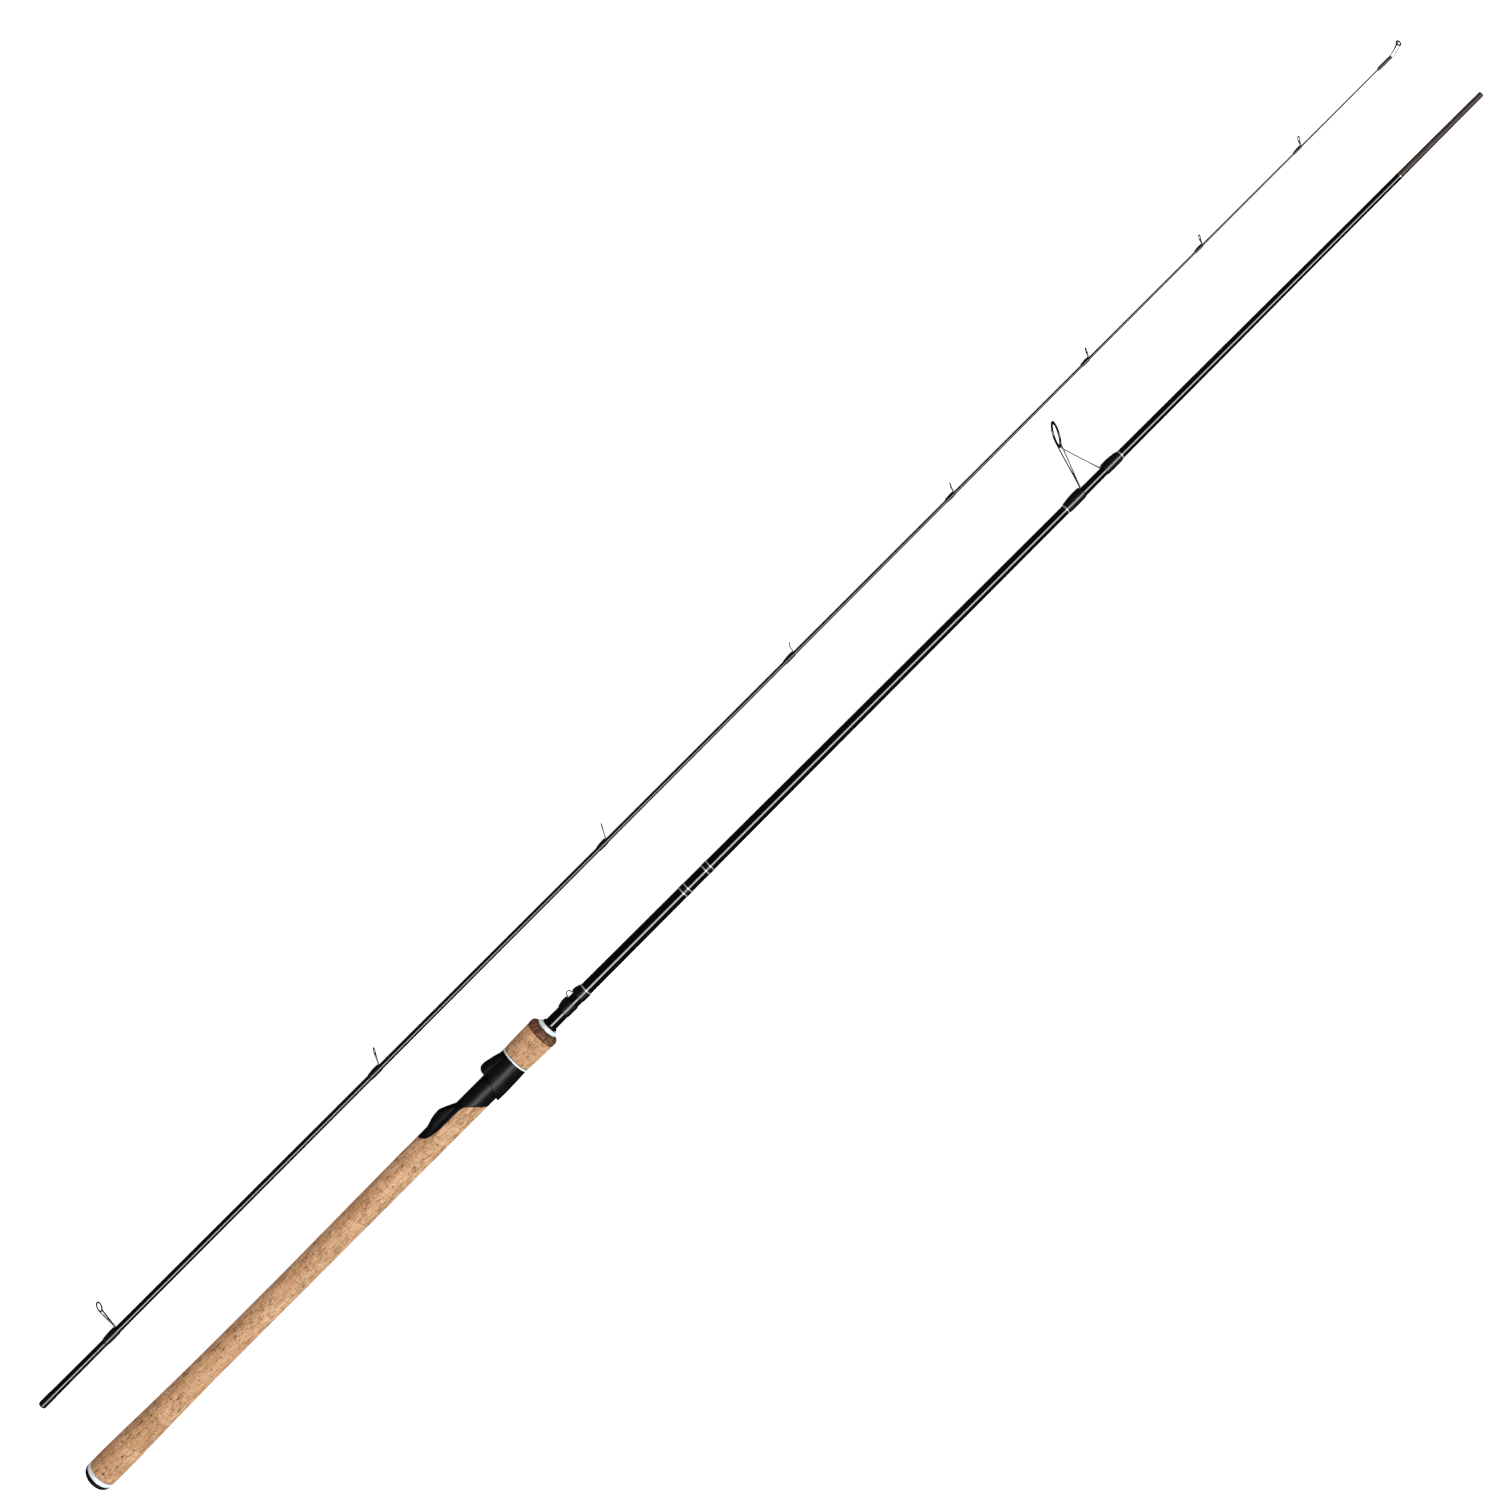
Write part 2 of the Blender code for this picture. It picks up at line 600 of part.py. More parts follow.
# Movable hood
def make_sliding_hood(mats, parent):
    """A turned shell with a swollen reel side, bored to slide on the seat, with a pocket open to the rear."""
    origin = (HOOD_FRONT, 0.0, 0.0)
    hood = add("sliding_hood", turned(HOOD_SHELL, SEAT_SIDES, closed=False), mats["seat"], parent, origin)
    hood.location = (0.0, 0.0, 0.0)
    frame = empty("hood_tools", (-HOOD_FRONT, 0.0, 0.0), parent)
    swelling = [hood_ring(x, SLIDING_HOOD_HALF, SLIDING_HOOD_BASE, top) for x, top in SLIDING_HOOD_TOPS]
    combine(hood, tool("hood_swelling", skin(swelling, closed=False), frame), 'UNION')
    bore = [(x, HOOD_CLEAR_R, GRIP_FRONT_RISE) for x in (HOOD_SHELL[0][0] - 1.0, HOOD_BORE_STEP)]
    bore += [(x, HOOD_BORE_R) for x in (HOOD_BORE_STEP + GAP, HOOD_FRONT + 1.0)]
    combine(hood, tool("hood_bore", turned(bore, SEAT_SIDES, closed=False), frame), 'DIFFERENCE')
    end, roof, half = HOOD_POCKET
    pocket = block((HOOD_SHELL[0][0] - 2.0, POCKET_FLOOR - 2.0, -half), (end, roof, half))
    combine(hood, tool("hood_pocket", pocket, frame), 'DIFFERENCE')
    line = smooth_line(HOOD_REAR_EDGE, 2)
    behind = HOOD_SHELL[0][0] - 4.0
    trim = line + [(behind, line[-1][1]), (behind, line[0][1])]
    combine(hood, tool("hood_rear_cut", prism(trim, 14.0), frame), 'DIFFERENCE')
    key_top = -BARREL_R + KEY_DEPTH / 2
    key = block((KEY_SPAN[0], -HOOD_BORE_R - KEY_ROOM, -KEY_WIDTH / 2), (KEY_SPAN[1], key_top, KEY_WIDTH / 2))
    combine(hood, tool("hood_key", key, frame), 'UNION')
    clean(hood)

    span = (GAP, GAP + TRIM_RING_LENGTH)
    add("hood_trim_ring", plain_sleeve(span, TRIM_RING_R, HOOD_BORE_R, GRIP_SIDES), mats["bright"], parent)


# Foregrip, with the locking nut inside
def make_foregrip(mats, parent):
    def local(outline):
        return [(x - FOREGRIP_START, r) for x, r in outline]

    def plain_bore(outline):
        return [(outline[0][0], FOREGRIP_BORE_R), (outline[-1][0], FOREGRIP_BORE_R)]

    nut = [x - FOREGRIP_START for x in NUT_SPAN]
    add("locking_nut", plain_sleeve(nut, NUT_R, HOOD_BORE_R, GRIP_SIDES), mats["nut"], parent)
    seal = [x - FOREGRIP_START for x in SEAL_SPAN]
    add("foregrip_seal", plain_sleeve(seal, SEAL_R, FOREGRIP_BORE_R, GRIP_SIDES), mats["rubber"], parent)
    turnings = (("foregrip_cork", FOREGRIP_OUTLINE, FOREGRIP_BORE, "cork"),
                ("foregrip_end_ring", END_RING_OUTLINE, plain_bore(END_RING_OUTLINE), "burl"),
                ("foregrip_check", CHECK_OUTLINE, plain_bore(CHECK_OUTLINE), "bright"))
    for name, outer, bore, slot in turnings:
        add(name, sleeve(local(outer), local(bore), GRIP_SIDES), mats[slot], parent)


# Hook keeper and thread trim
def make_keeper(mats, parent):
    foot_y = butt_r(KEEPER_CENTRE) + THIN_GAP + KEEPER_WIRE_R
    centre_y = foot_y + KEEPER_RISE
    opening = math.acos(KEEPER_RISE / KEEPER_LOOP_R)
    sweep = 2.0 * (math.pi - opening)
    steps = 12
    arc = []
    for k in range(steps + 1):
        a = opening - math.pi + k * sweep / steps
        arc.append((KEEPER_CENTRE + KEEPER_LOOP_R * math.sin(a), centre_y + KEEPER_LOOP_R * math.cos(a), 0.0))
    rear_foot = [(x, foot_y, 0.0) for x in KEEPER_REAR_FOOT]
    front_foot = [(x, foot_y, 0.0) for x in KEEPER_FRONT_FOOT]
    path = rear_foot + arc + front_foot
    add("hook_keeper", swept(path, round_section(KEEPER_WIRE_R)), mats["frame"], parent)
    foot = (2 * KEEPER_WIRE_R, KEEPER_WIRE_R)
    for end, span in (("rear", KEEPER_REAR_WRAP), ("front", KEEPER_FRONT_WRAP)):
        cover = wrap(span, butt_r, BLANK_SIDES, foot, *KEEPER_WRAP_WALL)
        add(f"keeper_wrap_{end}", cover, mats["thread"], parent)
    add("keeper_band", band(KEEPER_BAND, butt_r, BLANK_SIDES), mats["silver_thread"], parent)


def make_trim(mats, parent):
    for number, station in enumerate(TRIM_BANDS, 1):
        add(f"trim_band_{number}", band(station, butt_r, BLANK_SIDES), mats["silver_thread"], parent)
    pairs = (TRIM_BANDS[:2], TRIM_BANDS[2:])
    for name, (rear, front) in zip(("trim_wrap_rear", "trim_wrap_front"), pairs):
        inset = BAND_WIDTH / 2 + BAND_GAP
        span = (rear + inset, front - inset)
        bore = [(x, butt_r(x) + THIN_GAP) for x in span]
        outer = [(x, r + BAND_WALL) for x, r in bore]
        add(name, sleeve(outer, bore, BLANK_SIDES), mats["thread"], parent)
    add("ferrule_line", band(FERRULE_STATION, butt_r, BLANK_SIDES), mats["silver_thread"], parent)


# Guides
def make_stripper(mats, parent):
    foot_y = butt_r(STRIPPER_REAR_BASE) + THIN_GAP + STRIPPER_THICKNESS / 2
    sheet, centre_x = bent_sheet(
        STRIPPER_REAR_BASE, foot_y, STRIPPER_FOOT, (STRIPPER_RING_R, STRIPPER_RING_Y), STRIPPER_LEG_WIDTH,
        (STRIPPER_LEG_LEAN, STRIPPER_RING_LEAN), STRIPPER_HOOP)
    frame = add("stripper_frame", sheet, mats["frame"], parent)
    thicken(frame, STRIPPER_THICKNESS)
    lean = math.radians(STRIPPER_RING_LEAN)
    hoop_r = STRIPPER_RING_R - STRIPPER_HOOP / 2
    hoop_low = (centre_x - hoop_r * math.sin(lean), STRIPPER_RING_Y - hoop_r * math.cos(lean))
    front_y = butt_r(STRIPPER_FRONT_BASE) + THIN_GAP + STRIPPER_THICKNESS / 2
    path = [(*hoop_low, 0.0), (hoop_low[0] + 0.6, hoop_low[1] - 2.5, 0.0)]
    path += [(STRIPPER_FRONT_BASE + x, front_y + y, 0.0) for x, y in STRIPPER_STRUT_FOOT]
    strut = tool("stripper_strut", swept(path, flat_section(*STRIPPER_STRUT)), parent)
    combine(frame, strut, 'UNION')

    insert_r = STRIPPER_RING_R - STRIPPER_HOOP - STRIPPER_INSERT_ROOM
    insert = guide_ring(insert_r, STRIPPER_BORE_R, STRIPPER_INSERT_WIDTH, STRIPPER_RING_SIDES)
    leaning_ring(insert, centre_x, STRIPPER_RING_Y, STRIPPER_RING_LEAN)
    add("stripper_ring", insert, mats["ceramic"], parent)
    foot = (STRIPPER_THICKNESS, STRIPPER_FOOT[1])
    for end, span in (("rear", STRIPPER_REAR_WRAP), ("front", STRIPPER_FRONT_WRAP)):
        cover = wrap(span, butt_r, BLANK_SIDES, foot, *STRIPPER_WRAP_WALL)
        add(f"stripper_wrap_{end}", cover, mats["thread"], parent)
    for name, station in zip(("stripper_band_rear", "stripper_band_front"), STRIPPER_BANDS):
        add(name, band(station, butt_r, BLANK_SIDES), mats["silver_thread"], parent)


def make_tip_guide(number, spec, mats, parent):
    station, radius, centre_y, leg_lean, ring_lean, wrap_length = spec
    blank = tip_r(station)
    thickness = grown(GUIDE_THICKNESS, radius)
    foot_y = blank + THIN_GAP + thickness / 2
    foot_half = grown(GUIDE_FOOT_HALF, blank)
    hoop = grown(GUIDE_HOOP, radius)
    foot = (wrap_length - GUIDE_FOOT_COVER, foot_half)
    sheet, centre_x = bent_sheet(
        station, foot_y, foot, (radius, centre_y), grown(GUIDE_LEG_WIDTH, radius), (leg_lean, ring_lean), hoop)
    frame = add(f"guide_{number}_frame", sheet, mats["frame"], parent)
    thicken(frame, thickness)

    insert_r = radius - hoop - INSERT_ROOM
    bore_r = insert_r - grown(INSERT_WALL, radius)
    insert = guide_ring(insert_r, bore_r, grown(INSERT_WIDTH, radius), RING_SIDES)
    add(f"guide_{number}_ring", leaning_ring(insert, centre_x, centre_y, ring_lean), mats["ceramic"], parent)
    span = (station - wrap_length, station - 0.5)
    rise = grown(GUIDE_WRAP_RISE, blank)
    cover = wrap(span, tip_r, TIP_SIDES, (thickness, foot_half), GUIDE_WRAP_WALL, rise)
    add(f"guide_{number}_wrap", cover, mats["thread"], parent)


def make_tip_top(mats, parent):
    """A tube on the blank's end, and a hoop held by two side legs and a strut under it."""
    sleeve_mesh = plain_sleeve(TOP_TUBE, TOP_TUBE_R, TOP_TUBE_BORE_R, TIP_SIDES)
    tube = add("tip_top_frame", sleeve_mesh, mats["frame"], parent)
    hoop_span = (TOP_RING_X - TOP_HOOP_HALF, TOP_RING_X + TOP_HOOP_HALF)
    hoop = plain_sleeve(hoop_span, TOP_RING_R, TOP_RING_R - TOP_HOOP_WALL, HOOP_SIDES)
    bmesh.ops.translate(hoop, verts=hoop.verts, vec=(0.0, TOP_RING_Y, 0.0))
    combine(tube, tool("top_hoop", hoop, parent), 'UNION')
    tube_mid = (TOP_TUBE_R + TOP_TUBE_BORE_R) / 2
    rim = TOP_RING_R - TOP_HOOP_WALL / 2
    for side in (-1, 1):
        start = (TOP_TUBE[1] - 1.0, 0.75 * tube_mid, side * 0.66 * tube_mid)
        bend = (TOP_TUBE[1] + 1.2, 0.75 * tube_mid + 0.3, side * 0.75 * tube_mid)
        end = (TOP_RING_X, TOP_RING_Y + 0.5 * rim, side * 0.87 * rim)
        leg = swept([start, bend, end], round_section(TOP_LEG_R, 6))
        combine(tube, tool(f"top_leg_{side}", leg, parent), 'UNION')
    strut_path = [(TOP_TUBE[1] - 1.0, -tube_mid, 0.0), (TOP_TUBE[1] + 2.5, -tube_mid, 0.0),
                  (TOP_RING_X - 1.6, TOP_RING_Y - rim - 0.1, 0.0), (TOP_RING_X, TOP_RING_Y - rim, 0.0)]
    strut = swept(strut_path, flat_section(*TOP_STRUT))
    combine(tube, tool("top_strut", strut, parent), 'UNION')
    insert_r = TOP_RING_R - TOP_HOOP_WALL - INSERT_ROOM
    insert = guide_ring(insert_r, TOP_INSERT_BORE_R, TOP_INSERT_WIDTH, RING_SIDES)
    add("tip_top_ring", leaning_ring(insert, TOP_RING_X, TOP_RING_Y, 0.0), mats["ceramic"], parent)


def make_tip_blank(mats, parent):
    add("tip_blank", sleeve(TIP_BLANK, TIP_BORE, TIP_SIDES), mats["carbon"], parent)
    bore = [(x, tip_r(x) + THIN_GAP) for x in (SOCKET_WRAP[0][0], SOCKET_WRAP[-1][0])]
    outer = [(x, tip_r(x) + THIN_GAP + wall) for x, wall in SOCKET_WRAP]
    add("socket_wrap", sleeve(outer, bore, TIP_SIDES), mats["thread"], parent)


def main():
    clear_scene()
    mats = make_materials()
    middle_x = BUTT_LENGTH / 2
    middle_y = (GUIDE_REACH - PALM_REACH) / 2
    butt = empty("butt_section", (-middle_x, -middle_y, BUTT_AXIS_HEIGHT))
    make_butt_blank(mats, butt)
    make_butt_end(mats, butt)
    make_rear_grip(mats, butt)
    make_arbors(mats, butt)
    make_reel_seat(mats, butt)
    make_keeper(mats, butt)
    make_trim(mats, butt)
    make_stripper(mats, butt)

    hood = empty("hood_slide", (HOOD_FRONT, 0.0, 0.0), butt)
    make_sliding_hood(mats, hood)
    foregrip = empty("foregrip_turn", (FOREGRIP_START - HOOD_FRONT, 0.0, 0.0), hood)
    make_foregrip(mats, foregrip)

    tip = empty("tip_section", (TIP_LEAD - middle_x, SECTION_SPACING - middle_y, TIP_AXIS_HEIGHT))
    make_tip_blank(mats, tip)
    for number, spec in enumerate(TIP_GUIDES, 1):
        make_tip_guide(number, spec, mats, tip)
    make_tip_top(mats, tip)
    bpy.context.view_layer.update()


main()
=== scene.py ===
"""Looks of the two-piece spinning rod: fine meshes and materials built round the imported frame.

Lengths are in millimetres until a mesh is placed, which is in metres. A station is a distance along a
section: from the butt end on the butt section, and from the socket mouth on the tip section. Guides point
to +Y.
"""
import math
import random

import bmesh
import bpy
import numpy as np
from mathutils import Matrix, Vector


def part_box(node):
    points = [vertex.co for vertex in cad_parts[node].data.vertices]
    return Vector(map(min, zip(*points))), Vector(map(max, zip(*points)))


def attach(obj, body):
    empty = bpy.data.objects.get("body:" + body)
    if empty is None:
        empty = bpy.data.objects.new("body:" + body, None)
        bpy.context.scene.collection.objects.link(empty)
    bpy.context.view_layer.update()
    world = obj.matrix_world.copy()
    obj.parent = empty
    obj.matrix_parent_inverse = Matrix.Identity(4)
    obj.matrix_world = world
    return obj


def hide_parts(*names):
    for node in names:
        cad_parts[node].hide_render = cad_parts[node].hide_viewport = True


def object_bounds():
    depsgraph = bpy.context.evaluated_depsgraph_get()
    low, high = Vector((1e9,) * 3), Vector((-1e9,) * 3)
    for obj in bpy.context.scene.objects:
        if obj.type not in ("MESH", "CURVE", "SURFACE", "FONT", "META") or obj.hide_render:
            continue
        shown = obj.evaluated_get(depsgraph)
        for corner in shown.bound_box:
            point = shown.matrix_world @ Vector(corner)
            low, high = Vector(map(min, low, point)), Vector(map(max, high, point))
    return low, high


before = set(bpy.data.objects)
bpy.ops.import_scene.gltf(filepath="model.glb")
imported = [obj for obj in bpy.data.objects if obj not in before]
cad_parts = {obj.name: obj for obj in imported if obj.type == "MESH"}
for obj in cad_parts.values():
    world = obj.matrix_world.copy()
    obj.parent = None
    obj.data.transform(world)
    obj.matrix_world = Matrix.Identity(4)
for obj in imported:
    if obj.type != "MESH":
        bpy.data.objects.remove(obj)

CAD_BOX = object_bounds()
MM = 0.001

# Facets around the fine pieces
BLANK_SIDES = 48
GRIP_SIDES = 132
SEAT_SIDES = 120
HOOP_SIDES = 72
STRIPPER_SIDES = 96
TOP_HOOP_SIDES = 64

# Blanks and ferrule
BLANK_WALL = 1.1
BLANK_BORE_MIN_R = 1.1
BLANK_STEP = 12.0
BLANK_RIM = 0.25
FERRULE_GRIND = 0.03
TIP_BORE = ((0.0, 2.57), (85.0, 2.28), (91.0, 1.9), (563.0, 1.2))
TIP_BORE_END_R = 0.3

# Handle, in the butt section's stations. Pockets are (end, roof, half-width), and edges and tops are points.
GRIP_WAIST_R = 9.88
GRIP_TAPER = 62.0
GRIP_FRONT_RISE = 0.6
GRIP_FRONT_LEVEL = 318.0
SEAT_BODY_R = 10.4
BARREL_R = 8.0
SEAT_BORE_R = 6.9
SEAT_SHOULDER = 402.0
BED_Y = 8.25
BED_START = 371.0
POCKET_FLOOR = 7.9
REAR_POCKET = (354.0, 12.15, 6.0)
HOOD_POCKET = (411.0, 12.8, 6.3)
HOOD_SQUARENESS = 4.0
FIXED_HOOD_HALF = 8.8
FIXED_HOOD_BASE = 3.0
FIXED_HOOD_TOPS = ((344.0, 10.4), (348.0, 11.4), (351.0, 12.3), (354.0, 13.2), (357.5, 13.75),
                   (361.0, 13.7), (372.0, 12.5))
PALM_EDGE = ((334.6, 14.0), (336.2, 11.0), (341.8, 5.8), (349.0, 3.7), (356.0, 3.1), (365.0, 3.1),
             (371.5, 3.1), (375.6, 2.5), (378.6, 0.9), (383.3, -4.1), (388.0, -9.9), (391.0, -13.6))
KEY_HALF = 1.3
HOOD_BORE_R = 8.45
HOOD_BORE_STEP = 408.0
HOOD_CLEAR_R = 10.78
HOOD_SHELL = ((392.0, 11.85), (403.0, 12.1), (410.0, 12.0), (417.0, 11.75))
SLIDING_HOOD_HALF = 9.2
SLIDING_HOOD_BASE = 4.0
SLIDING_HOOD_TOPS = ((400.0, 13.9), (404.0, 14.6), (407.5, 14.6), (411.0, 13.8), (416.0, 12.7),
                     (421.6, 10.9))
CUT_DEPTH = 14.0
SEAT_CUT_DEPTH = 13.0
BED_MOUTH = ((360.0, 16.0), (360.6, 13.4), (363.4, 12.0))
HOOD_REAR_EDGE = ((393.5, -14.5), (395.9, -11.0), (399.4, -6.1), (402.2, 1.1), (402.9, 7.5),
                  (403.5, 12.0), (405.6, 15.5))

# Cork, its bores and the trim: rims and seams are (depth, length)
CORK_RING_PITCH = 12.7
CORK_STEP = 0.62
CORK_RIM = (0.35, 0.8)
CORK_SEAM = (0.07, 0.45)
CORK_SEEDS = {"rear_grip": 7, "foregrip_cork": 21}
CORK_PITS_PER_MM = {"rear_grip": 1.9, "foregrip_cork": 2.2}
CORK_PIT_DEPTH = 0.3
GRIP_LEVEL = 200.0
GRIP_STEPS = 40
GRIP_BORE_R = 6.6
GRIP_BORE_END = 330.0
BARREL_ROOM = 0.35
NUT_ROOM_R = 10.05
NUT_ROOM_END = 441.4
FOREGRIP_BORE_R = 8.5
TRIM_BORE_R = 5.55

# Moulded and polished pieces: the voxel that melts their shells into one, and the rounds of smoothing after
MOULDING_VOXEL = 0.28
MOULDING_SMOOTHING = 6
STRIPPER_VOXEL = 0.14
STRIPPER_SMOOTHING = 4
TOP_VOXEL = 0.09
WIRE_SMOOTHING = 3

# Thread work: a wrap's thinnest and thickest, its lip as (longest, part of its length), and the ridges of the
# feet under it as (height, half-width)
WRAP_STEP = 0.35
WRAP_LIP = (0.9, 0.12)
WRAP_LEAST = 0.12
WRAP_MOST = 0.75
BAND_MOST = 0.2
TRIM_WRAP_MOST = 0.14
SOCKET_WRAP_MOST = 0.12
KEEPER_RIDGE = (1.3, 0.8)
STRIPPER_RIDGE = (1.0, 1.0)
KEEPER_CENTRE = 485.6
KEEPER_LOOP_R = 2.05

# Guides: leans in degrees, hoops as (wall, width), legs and struts as (half-thickness, half-width), and the tip
# top's ring as (bore radius, width)
GUIDE_RING_LEANS = (20.0, 29.0, 28.0, 33.0, 29.0, 26.0, 28.0, 32.0)
INSERT_PLAY = 0.02
STRIPPER_LEAN = 27.0
STRIPPER_HOOP = (0.85, 1.0)
STRIPPER_THICKNESS = 0.8
STRIPPER_LEG = (0.5, 0.7)
STRIPPER_STRUT = (0.42, 0.85)
STRIPPER_BORE_R = 8.0
STRIPPER_INSERT_WIDTH = 1.9
STRIPPER_INSERT_PLAY = 0.03
STRIPPER_STRUT_FOOT = ((-0.4, 1.6), (0.7, 0.2), (2.2, 0.0), (8.0, -0.05))
TOP_BORE_R = 0.82
TOP_TUBE_LENGTH = 12.4
TOP_HOOP = (0.42, 0.85)
TOP_LEG_R = 0.34
TOP_STRUT = (0.27, 0.6)
TOP_RING = (1.45, 1.1)
THREAD_PITCH = 0.17

# Picture, in metres and degrees
FLOOR_HALF = 3.0
FLOOR_GAP = 0.0002
CAMERA_DISTANCE = 1.2
VIEW_WIDTH = 1.0747
VIEW_CENTRE = (-0.001, -0.0007)
CAMERA_TURN = -45.0


# Places read from the frame
def centre_of(node):
    low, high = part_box(node)
    return (low + high) / 2


BUTT = Vector((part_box("butt_cap")[0].x, centre_of("butt_cap").y, centre_of("butt_cap").z))
TIP = Vector((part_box("tip_blank")[0].x, centre_of("socket_wrap").y, centre_of("socket_wrap").z))


def span_of(node, section):
    """A node's first and last station."""
    low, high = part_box(node)
    return (low.x - section.x) / MM, (high.x - section.x) / MM


def rings_of(node, section, dip=0.93):
    """The outer rings of a turned node, rear to front: (station, half-width, rise of its centre).

    Stations where only the bore has points are left out: they dip below their neighbours.
    """
    co = (np.array([v.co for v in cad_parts[node].data.vertices]) - np.array(section)) / MM
    rings = []
    for x in np.unique(np.round(co[:, 0], 2)):
        ring = co[abs(co[:, 0] - x) < 0.02]
        if len(ring) < 8:
            continue
        half = (ring[:, 1].max() - ring[:, 1].min()) / 2
        rings.append((float(x), float(half), float(ring[:, 1].max() - half)))
    kept = [rings[0]]
    for i in range(1, len(rings) - 1):
        x, half, rise = rings[i]
        later = [r for r in rings[i + 1:] if r[1] > dip * half]
        x0, half0, _ = kept[-1]
        x1, half1, _ = max(later, key=lambda r: r[1] - abs(r[0] - x) * 1e-3) if later else rings[-1]
        between = half0 + (half1 - half0) * (x - x0) / (x1 - x0)
        if half > dip * between:
            kept.append(rings[i])
    return kept + [rings[-1]]


def read(outline, station):
    """The value of an outline at a station, straight between its points."""
    for (x0, r0, *_), (x1, r1, *_) in zip(outline, outline[1:]):
        if station <= x1:
            return r0 + (r1 - r0) * (station - x0) / (x1 - x0)
    return outline[-1][1]


def section_of(body):
    return TIP if body == "tip_section" else BUTT


BUTT_OUTLINE = rings_of("butt_blank", BUTT)
TIP_OUTLINE = rings_of("tip_blank", TIP)


def butt_r(station):
    return read(BUTT_OUTLINE, station)


def tip_r(station):
    return read(TIP_OUTLINE, station)


# Mesh tools
def skin(rings, closed):
    """Skin rings of points with quads. Closed joins the last ring to the first, open fills both ends."""
    bm = bmesh.new()
    loops = [[bm.verts.new(p) for p in ring] for ring in rings]
    pairs = list(zip(loops, loops[1:]))
    if closed:
        pairs.append((loops[-1], loops[0]))
    for first, second in pairs:
        for i in range(len(first)):
            j = (i + 1) % len(first)
            bm.faces.new((first[i], first[j], second[j], second[i]))
    if not closed:
        bm.faces.new(loops[0])
        bm.faces.new(loops[-1])
    return bm


def ring_points(x, r, sides, y0=0.0, ry=None):
    """Points around +X at station x: half-width r in Z, half-width ry in Y, about height y0."""
    ry = r if ry is None else ry
    angles = [2.0 * math.pi * k / sides for k in range(sides)]
    return [(x, y0 + ry * math.cos(a), r * math.sin(a)) for a in angles]


def hood_ring(x, half, base, top):
    """A squarish arch at station x: half its width in Z, base its middle height, and top its top."""
    power = 2.0 / HOOD_SQUARENESS
    ring = []
    for _, y, z in ring_points(x, 1.0, SEAT_SIDES):
        up = math.copysign(abs(y) ** power, y)
        across = math.copysign(abs(z) ** power, z)
        ring.append((x, base + (top - base) * up, half * across))
    return ring


def turned(outline, sides, closed=True):
    """A piece turned about +X from a list of (x, r) or (x, r, y0) points. Closed outlines leave a bore."""
    return skin([ring_points(p[0], p[1], sides, *p[2:]) for p in outline], closed)


def prism(outline, half_depth):
    """An outline in X and Y, extruded both ways along Z."""
    bm = bmesh.new()
    face = bm.faces.new([bm.verts.new((x, y, -half_depth)) for x, y in outline])
    side = bmesh.ops.extrude_face_region(bm, geom=[face])
    verts = [v for v in side["geom"] if isinstance(v, bmesh.types.BMVert)]
    bmesh.ops.translate(bm, verts=verts, vec=(0.0, 0.0, 2.0 * half_depth))
    return bm


def block(low, high):
    """A box from its low corner to its high corner, as deep below the X-Y plane as above."""
    return prism([(low[0], low[1]), (high[0], low[1]), (high[0], high[1]), (low[0], high[1])], high[2])


def spline_value(a, b, c, d, t):
    """The value at t, from b to c, of the smooth line through a, b, c and d."""
    slope = c - a
    bend = 2 * a - 5 * b + 4 * c - d
    twist = 3 * b - a - 3 * c + d
    return 0.5 * (2 * b + slope * t + bend * t * t + twist * t ** 3)


def smooth_line(points, steps):
    """A smooth line through points (Catmull-Rom), with steps stretches between neighbours."""
    ends = [points[0]] + list(points) + [points[-1]]
    line = []
    for p0, p1, p2, p3 in zip(ends, ends[1:], ends[2:], ends[3:]):
        for k in range(steps):
            line.append(tuple(spline_value(*values, k / steps) for values in zip(p0, p1, p2, p3)))
    line.append(tuple(points[-1]))
    return line


def rounded(outline, radius, steps=4, closed=True):
    """The outline with its corners rounded off to about radius."""
    count = len(outline)
    result = []
    for i in range(count):
        if not closed and i in (0, count - 1):
            result.append(tuple(outline[i]))
            continue
        here = Vector(outline[i])
        arms = []
        for other in (outline[i - 1], outline[(i + 1) % count]):
            arm = Vector(other) - here
            arms.append(here + arm * min(radius / max(arm.length, 1e-6), 0.45))
        for k in range(steps + 1):
            t = k / steps
            result.append(tuple(arms[0] * (1 - t) ** 2 + here * (2 * t * (1 - t)) + arms[1] * t * t))
    return result


def swept(path, section):
    """A bar along a path of (x, y, z) points, with a section of (across, z) points."""
    rings = []
    for i, (x, y, z) in enumerate(path):
        before, after = path[max(i - 1, 0)], path[min(i + 1, len(path) - 1)]
        dx, dy = after[0] - before[0], after[1] - before[1]
        length = math.hypot(dx, dy)
        nx, ny = -dy / length, dx / length
        rings.append([(x + nx * a, y + ny * a, z + b) for a, b in section])
    return skin(rings, closed=False)


def oval_section(half_across, half_z, sides=12):
    angles = [2.0 * math.pi * k / sides for k in range(sides)]
    return [(half_across * math.cos(a), half_z * math.sin(a)) for a in angles]


def strip_section(half_across, half_z, sides=16):
    """A flat strip's section with round edges."""
    points = []
    for k in range(sides):
        a = 2.0 * math.pi * (k + 0.5) / sides
        c, s = math.cos(a), math.sin(a)
        across, up = math.copysign(abs(c) ** 0.6, c), math.copysign(abs(s) ** 0.6, s)
        points.append((half_across * across, half_z * up))
    return points


def lean_to(bm, x, y, lean):
    """Lean a ring that was turned about +X at the origin, and carry its centre to (x, y)."""
    angle = math.radians(-lean)
    for v in bm.verts:
        px, py = v.co.x, v.co.y
        v.co.x = x + px * math.cos(angle) - py * math.sin(angle)
        v.co.y = y + px * math.sin(angle) + py * math.cos(angle)
    return bm


